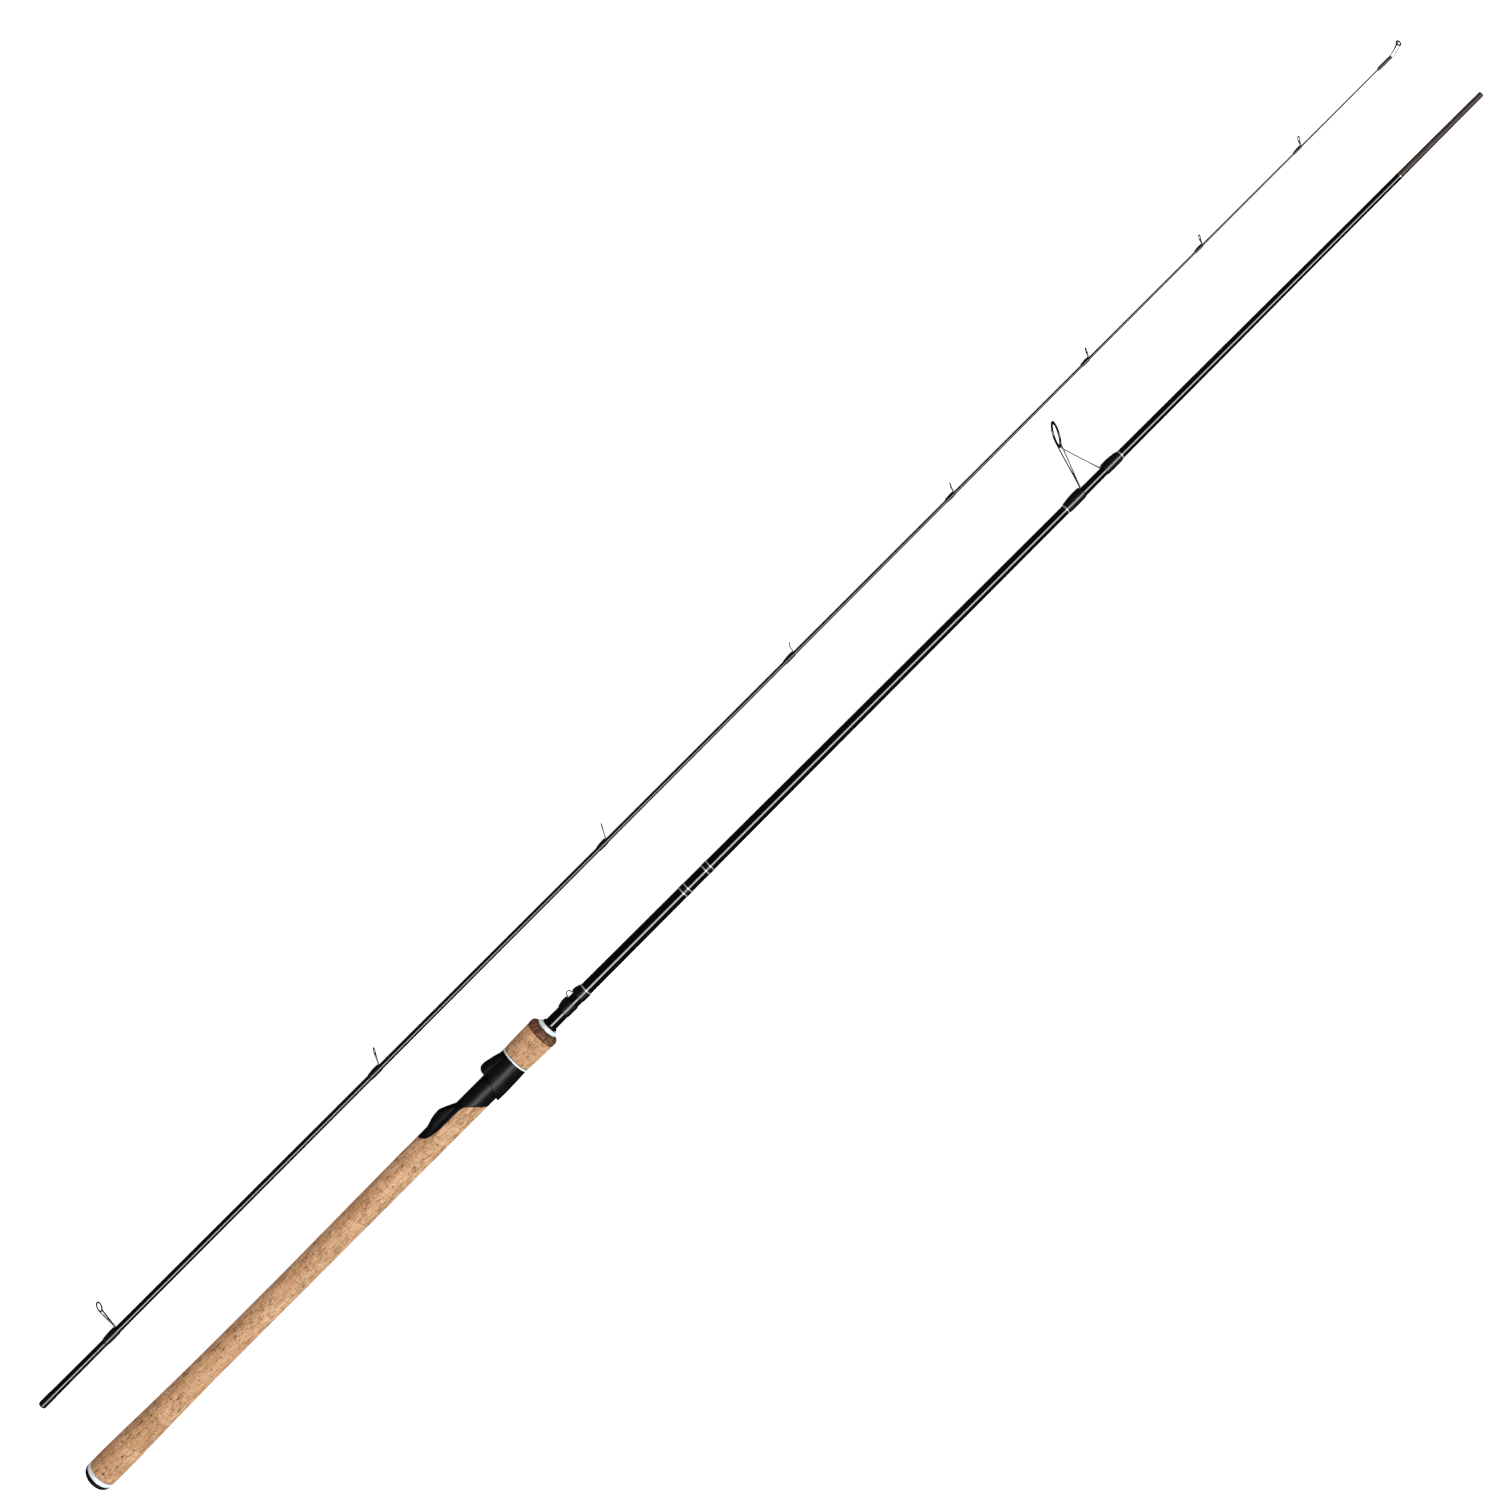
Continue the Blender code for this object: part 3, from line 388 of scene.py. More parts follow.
def joined(parts):
    """One mesh of several shells."""
    whole = bmesh.new()
    for part in parts:
        mesh = bpy.data.meshes.new("part")
        bmesh.ops.recalc_face_normals(part, faces=part.faces)
        part.to_mesh(mesh)
        part.free()
        whole.from_mesh(mesh)
        bpy.data.meshes.remove(mesh)
    return whole


def scratch(bm):
    """A working object, in millimetres, that is taken away once its shape has been read."""
    bmesh.ops.recalc_face_normals(bm, faces=bm.faces)
    mesh = bpy.data.meshes.new("scratch")
    bm.to_mesh(mesh)
    bm.free()
    obj = bpy.data.objects.new("scratch", mesh)
    bpy.context.collection.objects.link(obj)
    return obj


def combine(target, bm, operation):
    """Cut target with a mesh, join it to target, or keep what they share."""
    other = scratch(bm)
    boolean = target.modifiers.new(operation.lower(), 'BOOLEAN')
    boolean.operation = operation
    boolean.object = other
    settle(target)
    drop(other)


def settle(obj):
    """Put an object's modifiers into its mesh."""
    mesh = bpy.data.meshes.new_from_object(obj.evaluated_get(bpy.context.evaluated_depsgraph_get()))
    old = obj.data
    obj.modifiers.clear()
    obj.data = mesh
    bpy.data.meshes.remove(old)


def drop(obj):
    mesh = obj.data
    bpy.data.objects.remove(obj, do_unlink=True)
    bpy.data.meshes.remove(mesh)


def fuse(obj, voxel, smoothing):
    """Melt a working object's shells into one, with soft edges, as moulding or polishing leaves them."""
    remesh = obj.modifiers.new("remesh", 'REMESH')
    remesh.mode = 'VOXEL'
    remesh.voxel_size = voxel
    smooth = obj.modifiers.new("smooth", 'SMOOTH')
    smooth.factor = 0.5
    smooth.iterations = smoothing
    settle(obj)


def piece(name, source, mat, body, nodes, sharp=40.0):
    """Place a shape made in its section's millimetres as a piece of the rod."""
    if isinstance(source, bmesh.types.BMesh):
        source = scratch(source)
    mesh = source.data.copy()
    drop(source)
    mesh.name = name
    co = np.empty(len(mesh.vertices) * 3)
    mesh.vertices.foreach_get("co", co)
    co = co.reshape(-1, 3) * MM + np.array(section_of(body))
    mesh.vertices.foreach_set("co", co.ravel())
    mesh.update()
    mesh.shade_smooth()
    mesh.set_sharp_from_angle(angle=math.radians(sharp))
    obj = bpy.data.objects.new(name, mesh)
    mesh.materials.clear()
    mesh.materials.append(mat)
    bpy.context.collection.objects.link(obj)
    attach(obj, body)
    if nodes:
        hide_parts(*nodes)


# Materials
class Nodes:
    """A material's node tree, with short calls for its nodes."""

    def __init__(self, name, roughness=0.5, metallic=0.0, coat=0.0, coat_roughness=0.03):
        self.material = bpy.data.materials.new(name)
        self.material.use_nodes = True
        self.tree = self.material.node_tree
        self.shader = self.tree.nodes["Principled BSDF"]
        self.set(self.shader, **{"Roughness": roughness, "Metallic": metallic,
                                 "Coat Weight": coat, "Coat Roughness": coat_roughness})
        self.coordinates = self.tree.nodes.new("ShaderNodeTexCoord").outputs["Object"]

    def link(self, source, target):
        self.tree.links.new(source, target)

    def set(self, node, **values):
        for key, value in values.items():
            if isinstance(value, bpy.types.NodeSocket):
                self.link(value, node.inputs[key])
            else:
                node.inputs[key].default_value = value
        return node

    def scaled(self, scale, offset=(0.0, 0.0, 0.0)):
        """Object coordinates in millimetres, stretched by scale: one number, or one for each axis."""
        scale = scale if isinstance(scale, tuple) else (scale, scale, scale)
        mapping = self.tree.nodes.new("ShaderNodeMapping")
        self.set(mapping, Vector=self.coordinates, Scale=[s / MM for s in scale], Location=offset)
        return mapping.outputs["Vector"]

    def noise(self, scale, detail=2.0, roughness=0.5, offset=(0.0, 0.0, 0.0), distortion=0.0):
        node = self.tree.nodes.new("ShaderNodeTexNoise")
        self.set(node, Vector=self.scaled(scale, offset), Scale=1.0, Detail=detail, Roughness=roughness,
                 Distortion=distortion)
        return node.outputs["Fac"]

    def cells(self, scale, output="Color", feature='F1'):
        node = self.tree.nodes.new("ShaderNodeTexVoronoi")
        node.feature = feature
        self.set(node, Vector=self.scaled(scale), Scale=1.0)
        return node.outputs[output]

    def ramp(self, source, stops):
        """stops are (position, value or colour)."""
        node = self.tree.nodes.new("ShaderNodeValToRGB")
        elements = node.color_ramp.elements
        while len(elements) < len(stops):
            elements.new(0.5)
        for element, (position, value) in zip(elements, stops):
            color = value if isinstance(value, tuple) else (value, value, value)
            element.position = position
            element.color = (*color, 1.0)
        self.link(source, node.inputs["Fac"])
        return node.outputs["Color"]

    def mix(self, factor, first, second, blend='MIX'):
        node = self.tree.nodes.new("ShaderNodeMix")
        node.data_type = 'RGBA'
        node.blend_type = blend
        for socket, value in ((node.inputs[0], factor), (node.inputs[6], first), (node.inputs[7], second)):
            if isinstance(value, bpy.types.NodeSocket):
                self.link(value, socket)
            elif isinstance(value, tuple):
                socket.default_value = (*value, 1.0)
            else:
                socket.default_value = value
        return node.outputs[2]

    def math(self, operation, first, second=0.0, third=0.0):
        node = self.tree.nodes.new("ShaderNodeMath")
        node.operation = operation
        for socket, value in zip(node.inputs, (first, second, third)):
            if isinstance(value, bpy.types.NodeSocket):
                self.link(value, socket)
            else:
                socket.default_value = value
        return node.outputs[0]

    def along(self):
        """The distance along the rod, in millimetres."""
        split = self.tree.nodes.new("ShaderNodeSeparateXYZ")
        self.link(self.coordinates, split.inputs[0])
        return self.math('MULTIPLY', split.outputs["X"], 1.0 / MM)

    def lines(self, pitch):
        """Rounded ridges round the rod, one each pitch: 0 in the grooves, 1 on the crests."""
        phase = self.math('MULTIPLY', self.along(), 2.0 * math.pi / pitch)
        return self.math('MULTIPLY_ADD', self.math('SINE', phase), 0.5, 0.5)

    def color(self, source):
        self.link(source, self.shader.inputs["Base Color"])

    def rough(self, source):
        self.link(source, self.shader.inputs["Roughness"])

    def specular(self, level):
        self.shader.inputs["Specular IOR Level"].default_value = level

    def tint(self, factor, tone, source, stops):
        """The tone, multiplied by a ramp of source."""
        return self.mix(factor, tone, self.ramp(source, stops), 'MULTIPLY')

    def stain(self, strength, tone, mask, color):
        """The tone, going over to a colour where mask is 1, as far as strength."""
        return self.mix(self.math('MULTIPLY', mask, strength), tone, color)

    def bump(self, height, distance, strength=1.0):
        node = self.tree.nodes.new("ShaderNodeBump")
        self.set(node, Height=height, Distance=distance * MM, Strength=strength)
        self.link(node.outputs["Normal"], self.shader.inputs["Normal"])


def cork_material():
    m = Nodes("cork_look", roughness=0.62)
    m.specular(0.3)
    ring = m.math('FLOOR', m.math('DIVIDE', m.along(), CORK_RING_PITCH))
    white = m.tree.nodes.new("ShaderNodeTexWhiteNoise")
    white.noise_dimensions = '1D'
    m.set(white, W=ring)
    ring_tone = m.ramp(white.outputs["Value"], [(0.0, (0.470, 0.274, 0.148)), (0.5, (0.510, 0.304, 0.170)),
                                                (1.0, (0.550, 0.338, 0.196))])
    clouds = m.noise((0.12, 0.3, 0.3), detail=4.0, roughness=0.6)
    tone = m.tint(0.8, ring_tone, clouds, [(0.3, (0.80, 0.76, 0.70)), (0.5, 1.0),
                                           (0.72, (1.12, 1.15, 1.2))])
    grain = m.noise((0.5, 1.9, 1.9), detail=5.0, roughness=0.68, offset=(3.0, 1.0, 2.0))
    tone = m.tint(0.9, tone, grain, [(0.30, (0.50, 0.40, 0.33)), (0.46, 1.0),
                                     (0.72, (1.2, 1.22, 1.25))])
    cell = m.cells(2.6, "Distance")
    tone = m.tint(0.35, tone, cell, [(0.0, 0.84), (0.5, 1.05)])
    streaks = m.noise((0.16, 2.1, 2.1), detail=3.0, roughness=0.6, offset=(9.0, 5.0, 7.0), distortion=0.4)
    streak = m.ramp(streaks, [(0.56, 0.0), (0.63, 1.0)])
    tone = m.stain(0.5, tone, streak, (0.20, 0.085, 0.035))
    marks = m.noise((2.4, 0.7, 0.7), detail=3.0, roughness=0.6, offset=(1.0, 8.0, 4.0), distortion=0.5)
    mark = m.ramp(marks, [(0.60, 0.0), (0.65, 1.0)])
    tone = m.stain(0.6, tone, mark, (0.15, 0.06, 0.024))
    rust = m.ramp(m.noise((0.05, 0.22, 0.22), detail=3.0, roughness=0.6, offset=(6.0, 2.0, 9.0)),
                  [(0.47, 0.0), (0.62, 1.0)])
    tone = m.stain(0.45, tone, rust, (0.40, 0.185, 0.075))
    across = m.noise((1.5, 0.1, 0.1), detail=2.0, roughness=0.6, offset=(7.0, 3.0, 5.0))
    tone = m.tint(0.8, tone, across, [(0.34, (0.62, 0.54, 0.47)), (0.46, 1.0),
                                      (0.7, (1.06, 1.08, 1.12))])
    ridge = m.noise((0.11, 0.52, 0.52), detail=4.0, roughness=0.6, offset=(2.0, 9.0, 1.0), distortion=0.3)
    line = m.ramp(ridge, [(0.470, 0.0), (0.492, 1.0), (0.508, 1.0), (0.530, 0.0)])
    patch = m.ramp(m.noise((0.035, 0.16, 0.16), detail=2.0, offset=(4.0, 4.0, 2.0)),
                   [(0.40, 0.0), (0.50, 1.0)])
    crack = m.math('MULTIPLY', line, patch)
    tone = m.stain(0.85, tone, crack, (0.13, 0.052, 0.021))
    # The pits darken with their depth: partly their own dark brown, partly painted shade in their hollows.
    pit = m.tree.nodes.new("ShaderNodeAttribute")
    pit.attribute_name = "pit"
    pits = m.ramp(pit.outputs["Fac"], [(0.10, 0.0), (0.5, 1.0)])
    tone = m.stain(0.9, tone, pits, (0.06, 0.022, 0.009))
    m.color(tone)
    height = m.math('SUBTRACT', m.math('MULTIPLY', grain, 0.35), streak)
    height = m.math('SUBTRACT', m.math('ADD', height, m.math('MULTIPLY', cell, 0.25)), crack)
    m.bump(height, 0.1, 0.7)
    return m.material


def burl_material():
    m = Nodes("burl_cork_look", roughness=0.6)
    m.specular(0.25)
    cell = m.cells(1.15)
    split = m.tree.nodes.new("ShaderNodeSeparateColor")
    m.link(cell, split.inputs[0])
    tone = m.ramp(split.outputs[0], [(0.0, (0.03, 0.010, 0.004)), (0.35, (0.075, 0.027, 0.011)),
                                     (0.62, (0.13, 0.050, 0.021)), (0.85, (0.20, 0.085, 0.037)),
                                     (1.0, (0.32, 0.155, 0.075))])
    grain = m.noise(2.2, detail=5.0, roughness=0.7)
    tone = m.tint(0.9, tone, grain, [(0.3, 0.45), (0.5, 0.95), (0.7, 1.3)])
    edge = m.cells(1.15, "Distance", 'DISTANCE_TO_EDGE')
    tone = m.mix(m.ramp(edge, [(0.02, 0.7), (0.10, 0.0)]), tone, (0.03, 0.012, 0.006))
    m.color(tone)
    m.bump(m.math('ADD', m.ramp(edge, [(0.0, 0.0), (0.12, 1.0)]), m.math('MULTIPLY', grain, 0.6)), 0.08,
           0.7)
    return m.material


def blank_material():
    """Clear-coated carbon: near black under a deep gloss, with the faint band that the tape leaves."""
    m = Nodes("gloss_carbon_look", roughness=0.2, coat=1.0, coat_roughness=0.06)
    fibres = m.noise((0.02, 3.5, 3.5), detail=3.0, roughness=0.6)
    m.color(m.ramp(fibres, [(0.3, (0.0004, 0.0004, 0.0005)), (0.7, (0.0016, 0.0014, 0.0013))]))
    m.set(m.shader, **{"Specular IOR Level": 0.3, "Coat IOR": 1.65})
    ripple = m.noise((0.035, 0.25, 0.25), detail=1.0, offset=(4.0, 0.0, 0.0))
    tape = m.lines(3.1)
    m.bump(m.math('ADD', m.math('MULTIPLY', tape, 0.25), ripple), 0.02, 0.5)
    return m.material


def ferrule_material():
    """Bare carbon, ground to fit the socket: matt, with fine scratches round it."""
    m = Nodes("ground_carbon_look", roughness=0.42)
    scratches = m.noise((7.0, 0.25, 0.25), detail=4.0, roughness=0.7)
    patches = m.noise((0.06, 0.5, 0.5), detail=2.0, offset=(2.0, 2.0, 2.0))
    tone = m.tint(0.8, m.ramp(scratches, [(0.3, (0.018, 0.0135, 0.0125)), (0.7, (0.045, 0.034, 0.031))]),
                  patches, [(0.3, 0.75), (0.7, 1.15)])
    m.color(tone)
    m.rough(m.ramp(patches, [(0.3, 0.36), (0.7, 0.5)]))
    m.bump(scratches, 0.012, 0.8)
    return m.material


def thread_material(name, low, high, metallic, roughness):
    """Wound thread seen through clear epoxy: the ridges are under the coat, which stays smooth."""
    m = Nodes(name, roughness=roughness, metallic=metallic, coat=1.0, coat_roughness=0.03)
    m.set(m.shader, **{"Coat IOR": 1.5})
    turns_and_groove_shade = m.lines(THREAD_PITCH)
    twist = m.noise((9.0, 2.5, 2.5), detail=2.0)
    # Darker in the grooves between turns and lighter on their crests: painted shade in the grooves.
    tone = m.mix(turns_and_groove_shade, low, high)
    tone = m.tint(0.5, tone, twist, [(0.35, 0.7), (0.65, 1.25)])
    m.color(tone)
    m.bump(m.math('ADD', turns_and_groove_shade, m.math('MULTIPLY', twist, 0.3)), 0.03, 0.6)
    return m.material


def seat_material():
    """Satin black moulding with a soft-touch grain, worn a little smoother in patches."""
    m = Nodes("satin_seat_look", roughness=0.38, coat=0.1, coat_roughness=0.3)
    m.specular(0.2)
    grain = m.noise(4.5, detail=3.0, roughness=0.6)
    wear = m.noise((0.12, 0.2, 0.2), detail=3.0, offset=(1.0, 6.0, 3.0))
    tone = m.tint(0.6, m.ramp(wear, [(0.3, (0.0014, 0.0014, 0.002)), (0.7, (0.003, 0.003, 0.004))]), grain,
                  [(0.3, 0.75), (0.7, 1.25)])
    m.color(tone)
    m.rough(m.ramp(wear, [(0.3, 0.36), (0.7, 0.45)]))
    m.bump(grain, 0.012, 0.6)
    return m.material


def rubber_material():
    m = Nodes("butt_rubber_look", roughness=0.62)
    m.specular(0.15)
    grain = m.noise(3.0, detail=4.0, roughness=0.65)
    dust = m.noise((0.3, 0.4, 0.4), detail=3.0, offset=(5.0, 2.0, 1.0))
    tone = m.tint(0.7, m.ramp(dust, [(0.35, 0.001), (0.75, (0.004, 0.004, 0.0038))]), grain,
                  [(0.3, 0.8), (0.7, 1.2)])
    m.color(tone)
    m.bump(grain, 0.03, 0.6)
    return m.material


def turned_metal_material(name, low, high, roughness, metallic=1.0, lathe=0.22, tarnish=0.1):
    """Turned metal: fine marks round the axis, and a slight uneven tarnish."""
    m = Nodes(name, roughness=roughness, metallic=metallic)
    marks = m.noise((5.0, 0.3, 0.3), detail=3.0, roughness=0.65)
    stain = m.noise(0.5, detail=3.0, offset=(2.0, 7.0, 4.0))
    tone = m.tint(0.8, m.mix(marks, low, high), stain, [(0.3, 1.0 - tarnish), (0.7, 1.0)])
    m.color(tone)
    m.rough(m.ramp(stain, [(0.3, roughness * 1.3), (0.7, roughness * 0.8)]))
    m.bump(marks, 0.01, lathe)
    return m.material


def wire_material():
    """Dark polished guide frames, faintly brown, with fine polishing marks."""
    m = Nodes("guide_frame_look", roughness=0.2, metallic=1.0)
    marks = m.noise(6.0, detail=3.0, roughness=0.7)
    stain = m.noise(0.35, detail=2.0, offset=(8.0, 1.0, 3.0))
    tone = m.mix(stain, (0.03, 0.025, 0.022), (0.09, 0.074, 0.064))
    m.color(m.tint(0.5, tone, marks, [(0.3, 0.85), (0.7, 1.1)]))
    m.rough(m.ramp(marks, [(0.3, 0.14), (0.7, 0.27)]))
    m.bump(marks, 0.008, 0.4)
    return m.material


def ceramic_material():
    m = Nodes("ring_ceramic_look", roughness=0.09, coat=0.5, coat_roughness=0.03)
    grain = m.noise(7.0, detail=2.0)
    m.color(m.ramp(grain, [(0.3, (0.006, 0.006, 0.007)), (0.7, (0.014, 0.013, 0.014))]))
    m.rough(m.ramp(grain, [(0.3, 0.06), (0.7, 0.13)]))
    return m.material


def foam_material():
    m = Nodes("arbor_foam_look", roughness=0.9)
    cell = m.cells(3.0, "Distance")
    m.color(m.ramp(cell, [(0.0, (0.36, 0.31, 0.22)), (0.6, (0.62, 0.56, 0.44))]))
    m.bump(cell, 0.15, 0.9)
    return m.material


def nylon_material():
    m = Nodes("nut_nylon_look", roughness=0.5)
    grain = m.noise(2.5, detail=3.0)
    m.color(m.ramp(grain, [(0.3, 0.018), (0.7, 0.035)]))
    m.bump(grain, 0.02, 0.5)
    return m.material


def floor_material():
    """Plain white paper, lit evenly enough to stay white all over."""
    m = Nodes("floor_paper", roughness=0.9)
    fibre = m.noise(0.05, detail=2.0)
    m.color(m.ramp(fibre, [(0.0, 0.50), (1.0, 0.54)]))
    m.set(m.shader, **{"Emission Color": (1.0, 1.0, 1.0, 1.0), "Emission Strength": 1.0,
                       "Specular IOR Level": 0.1})
    return m.material


CORK = cork_material()
BURL = burl_material()
BLANK = blank_material()
FERRULE = ferrule_material()
# Each thread's first tone is the painted shade in the grooves between its turns, the second the colour on the
# crests.
THREAD = thread_material("black_thread_look", (0.0005, 0.0005, 0.0005), (0.0025, 0.0024, 0.0024), 0.0, 0.4)
SILVER = thread_material("silver_thread_look", (0.42, 0.41, 0.43), (0.82, 0.80, 0.82), 0.6, 0.3)
SEAT = seat_material()
RUBBER = rubber_material()
BRIGHT = turned_metal_material("bright_trim_look", (0.66, 0.76, 0.84), (0.80, 0.88, 0.95), 0.36, metallic=0.2)
FRAME = wire_material()
CERAMIC = ceramic_material()
GOLD = turned_metal_material("ferrule_line_look", (0.62, 0.5, 0.28), (0.85, 0.74, 0.5), 0.3)
FOAM = foam_material()
NYLON = nylon_material()


# Blanks
def make_blanks():
    """Each blank is a tapered tube; the butt section's front end is its bare ferrule."""
    def rounded_ends(outer, bore):
        """Soften the two outer rims of a tube."""
        (x0, r0), (x1, r1) = outer[0], outer[-1]
        soft = BLANK_RIM
        front = [(x1 - soft, r1), (x1 - soft * 0.3, r1 - soft * 0.12), (x1, r1 - soft * 0.5)]
        rear = [(x0, r0 - soft * 0.5), (x0 + soft * 0.3, r0 - soft * 0.12), (x0 + soft, r0)]
        return rear + outer[1:-1] + front + bore

    def tube(start, end, stations, radius, inner):
        steps = max(int((end - start) / BLANK_STEP), 2)
        xs = [start + (end - start) * k / steps for k in range(steps + 1)]
        xs = sorted(set(xs + [x for x in stations if start < x < end]))
        outer = [(x, radius(x)) for x in xs]
        bore = [(x, inner(x)) for x in reversed(xs)]
        return turned(rounded_ends(outer, bore), BLANK_SIDES)

    def butt_bore(x):
        return max(butt_r(x) - BLANK_WALL, BLANK_BORE_MIN_R)

    ferrule_start = sum(span_of("ferrule_line", BUTT)) / 2
    start, end = span_of("butt_blank", BUTT)
    stations = [x for x, *_ in BUTT_OUTLINE]
    shaft = tube(start, ferrule_start, stations, butt_r, butt_bore)
    piece("butt_shaft", shaft, BLANK, "butt_section", ["butt_blank"])
    spigot = tube(ferrule_start, end, stations, lambda x: butt_r(x) - FERRULE_GRIND, butt_bore)
    piece("male_ferrule", spigot, FERRULE, "butt_section", [])

    end = span_of("tip_blank", TIP)[1]
    bore = (*TIP_BORE, (end, TIP_BORE_END_R))
    stations = [x for x, *_ in TIP_OUTLINE] + [x for x, _ in bore]
    shaft = tube(0.0, end, stations, tip_r, lambda x: read(bore, x))
    piece("tip_shaft", shaft, BLANK, "tip_section", ["tip_blank"])


# Cork
def cork_skin(name, node, body, outline, bore, cut=None):
    """A cork sleeve with its rings' seams cut in, and lens-shaped pits that run along it."""
    first, last = outline[0][0], outline[-1][0]
    count = int((last - first) / CORK_STEP)
    xs = np.linspace(first, last, count + 1)
    radii = np.array([read(outline, x) for x in xs])
    rises = np.array([read([(p[0], p[2] if len(p) > 2 else 0.0) for p in outline], x) for x in xs])
    soft = np.minimum(xs - first, last - xs)
    rim_depth, rim_length = CORK_RIM
    radii -= rim_depth * np.clip(1.0 - soft / rim_length, 0.0, 1.0) ** 2
    offset = (BUTT.x / MM) % CORK_RING_PITCH
    phase = (xs + offset) % CORK_RING_PITCH
    seam = np.minimum(phase, CORK_RING_PITCH - phase)
    seam_depth, seam_width = CORK_SEAM
    radii -= seam_depth * np.exp(-(seam / seam_width) ** 2)

    pits = np.zeros((len(xs), GRIP_SIDES))
    rng = random.Random(CORK_SEEDS[node])
    around = 2.0 * math.pi / GRIP_SIDES
    for _ in range(int((last - first) * CORK_PITS_PER_MM[node])):
        px, pa = rng.uniform(first, last), rng.uniform(0.0, 2.0 * math.pi)
        long = 0.45 + 1.7 * rng.random() ** 3
        wide = 0.3 + 0.3 * rng.random() ** 2
        skew = rng.gauss(0.0, 0.25)
        deep = rng.uniform(0.4, 1.0)
        for i in range(max(int((px - 3 * long - first) / CORK_STEP), 0),
                       min(int((px + 3 * long - first) / CORK_STEP) + 2, len(xs))):
            reach = int(3.5 * wide / (around * radii[i])) + 2
            middle = int(pa / around)
            for k in range(middle - reach, middle + reach + 1):
                along = xs[i] - px
                across = (k * around - pa) * radii[i] + skew * along
                depth = deep * math.exp(-(along / long) ** 2 - (across / wide) ** 2)
                j = k % GRIP_SIDES
                pits[i, j] = max(pits[i, j], depth)

    angles = np.arange(GRIP_SIDES) * around
    rings = []
    for i, x in enumerate(xs):
        r = radii[i] - CORK_PIT_DEPTH * pits[i]
        y = rises[i] + r * np.cos(angles)
        z = r * np.sin(angles)
        rings.append(list(zip([x] * GRIP_SIDES, y, z)))
    outer_rings = len(rings)
    for x, r in reversed(bore):
        rings.append(ring_points(x, r, GRIP_SIDES))
    bm = skin(rings, closed=True)
    layer = bm.verts.layers.float.new("pit")
    bm.verts.ensure_lookup_table()
    for i in range(outer_rings):
        for j in range(GRIP_SIDES):
            bm.verts[i * GRIP_SIDES + j][layer] = pits[i, j]
    shape = scratch(bm)
    if cut:
        combine(shape, cut, 'DIFFERENCE')
    piece(name, shape, CORK, body, [node])


def seat_side(shift):
    """The region on the seat's side of the S-shaped edge between cork and seat."""
    far, wide = 460.0, 18.0
    line = [(x + shift, y + shift) for x, y in smooth_line(PALM_EDGE, 10)]
    return line + [(far, -14.0), (far, wide), (line[0][0], wide)]


def make_grip():
    start = span_of("rear_grip", BUTT)[0]
    butt_radius = rings_of("rear_grip", BUTT)[0][1]
    front = PALM_EDGE[-1][0] + 2.0

    def radius(x):
        return GRIP_WAIST_R + (butt_radius - GRIP_WAIST_R) * math.exp(-((x - start) / GRIP_TAPER) ** 2)

    stations = [start + k * (GRIP_LEVEL - start) / GRIP_STEPS for k in range(GRIP_STEPS)]
    outline = [(x, radius(x), 0.0) for x in (*stations, GRIP_LEVEL)]
    outline += [(GRIP_FRONT_LEVEL, SEAT_BODY_R, GRIP_FRONT_RISE),
                (front, SEAT_BODY_R, GRIP_FRONT_RISE)]
    room = BARREL_R + BARREL_ROOM
    bore = [(start, GRIP_BORE_R), (GRIP_BORE_END, GRIP_BORE_R), (GRIP_BORE_END + 0.3, room), (front, room)]
    cork_skin("rear_grip_cork", "rear_grip", "butt_section", outline, bore,
              cut=prism(seat_side(0.0), CUT_DEPTH))

    start, end = span_of("foregrip_cork", BUTT)
    rings = rings_of("foregrip_cork", BUTT)
    bore = [(start, NUT_ROOM_R), (NUT_ROOM_END, NUT_ROOM_R), (NUT_ROOM_END + 0.1, FOREGRIP_BORE_R),
            (end, FOREGRIP_BORE_R)]
    cork_skin("foregrip_cork_skin", "foregrip_cork", "foregrip", rings, bore)


def lathe_piece(name, node, mat, body, bore_r, soft):
    """A fine copy of a turned node, with rounded rims."""
    rings = [(x, r) for x, r, _ in rings_of(node, BUTT)]
    outline = rounded(rings + [(rings[-1][0], bore_r), (rings[0][0], bore_r)], soft)
    piece(name, turned(outline, GRIP_SIDES), mat, body, [node])


def make_trim_rings():
    rings = (("burl_end_ring", "foregrip_end_ring", BURL, "foregrip", TRIM_BORE_R, 0.7),
             ("winding_check", "foregrip_check", BRIGHT, "foregrip", TRIM_BORE_R, 0.3),
             ("front_seal", "foregrip_seal", RUBBER, "foregrip", TRIM_BORE_R, 0.4),
             ("hood_ring", "hood_trim_ring", BRIGHT, "sliding_hood", HOOD_BORE_R, 0.2),
             ("butt_ring", "butt_trim_ring", BRIGHT, "butt_section", GRIP_BORE_R, 0.3))
    for ring in rings:
        lathe_piece(*ring)


def make_butt_cap():
    """A domed rubber cap with a shallow dished end and a bead where it meets the ring."""
    start, end = span_of("butt_cap", BUTT)
    radius = rings_of("butt_cap", BUTT)[-1][1]
    face = rings_of("butt_cap", BUTT)[0][1]
    outline = [(start + 0.5, 0.6), (start + 0.45, 4.5), (start + 0.1, 6.2), (start, 7.0), (start, face),
               (start + 0.4, 10.0), (start + 1.6, radius - 0.5), (end - 0.9, radius), (end - 0.5, radius),
               (end - 0.35, radius - 0.18), (end - 0.2, radius - 0.02), (end, radius - 0.25), (end, 0.6)]
    bm = turned(rounded(outline, 0.5, closed=False), GRIP_SIDES, closed=False)
    piece("butt_cap_rubber", bm, RUBBER, "butt_section", ["butt_cap"])


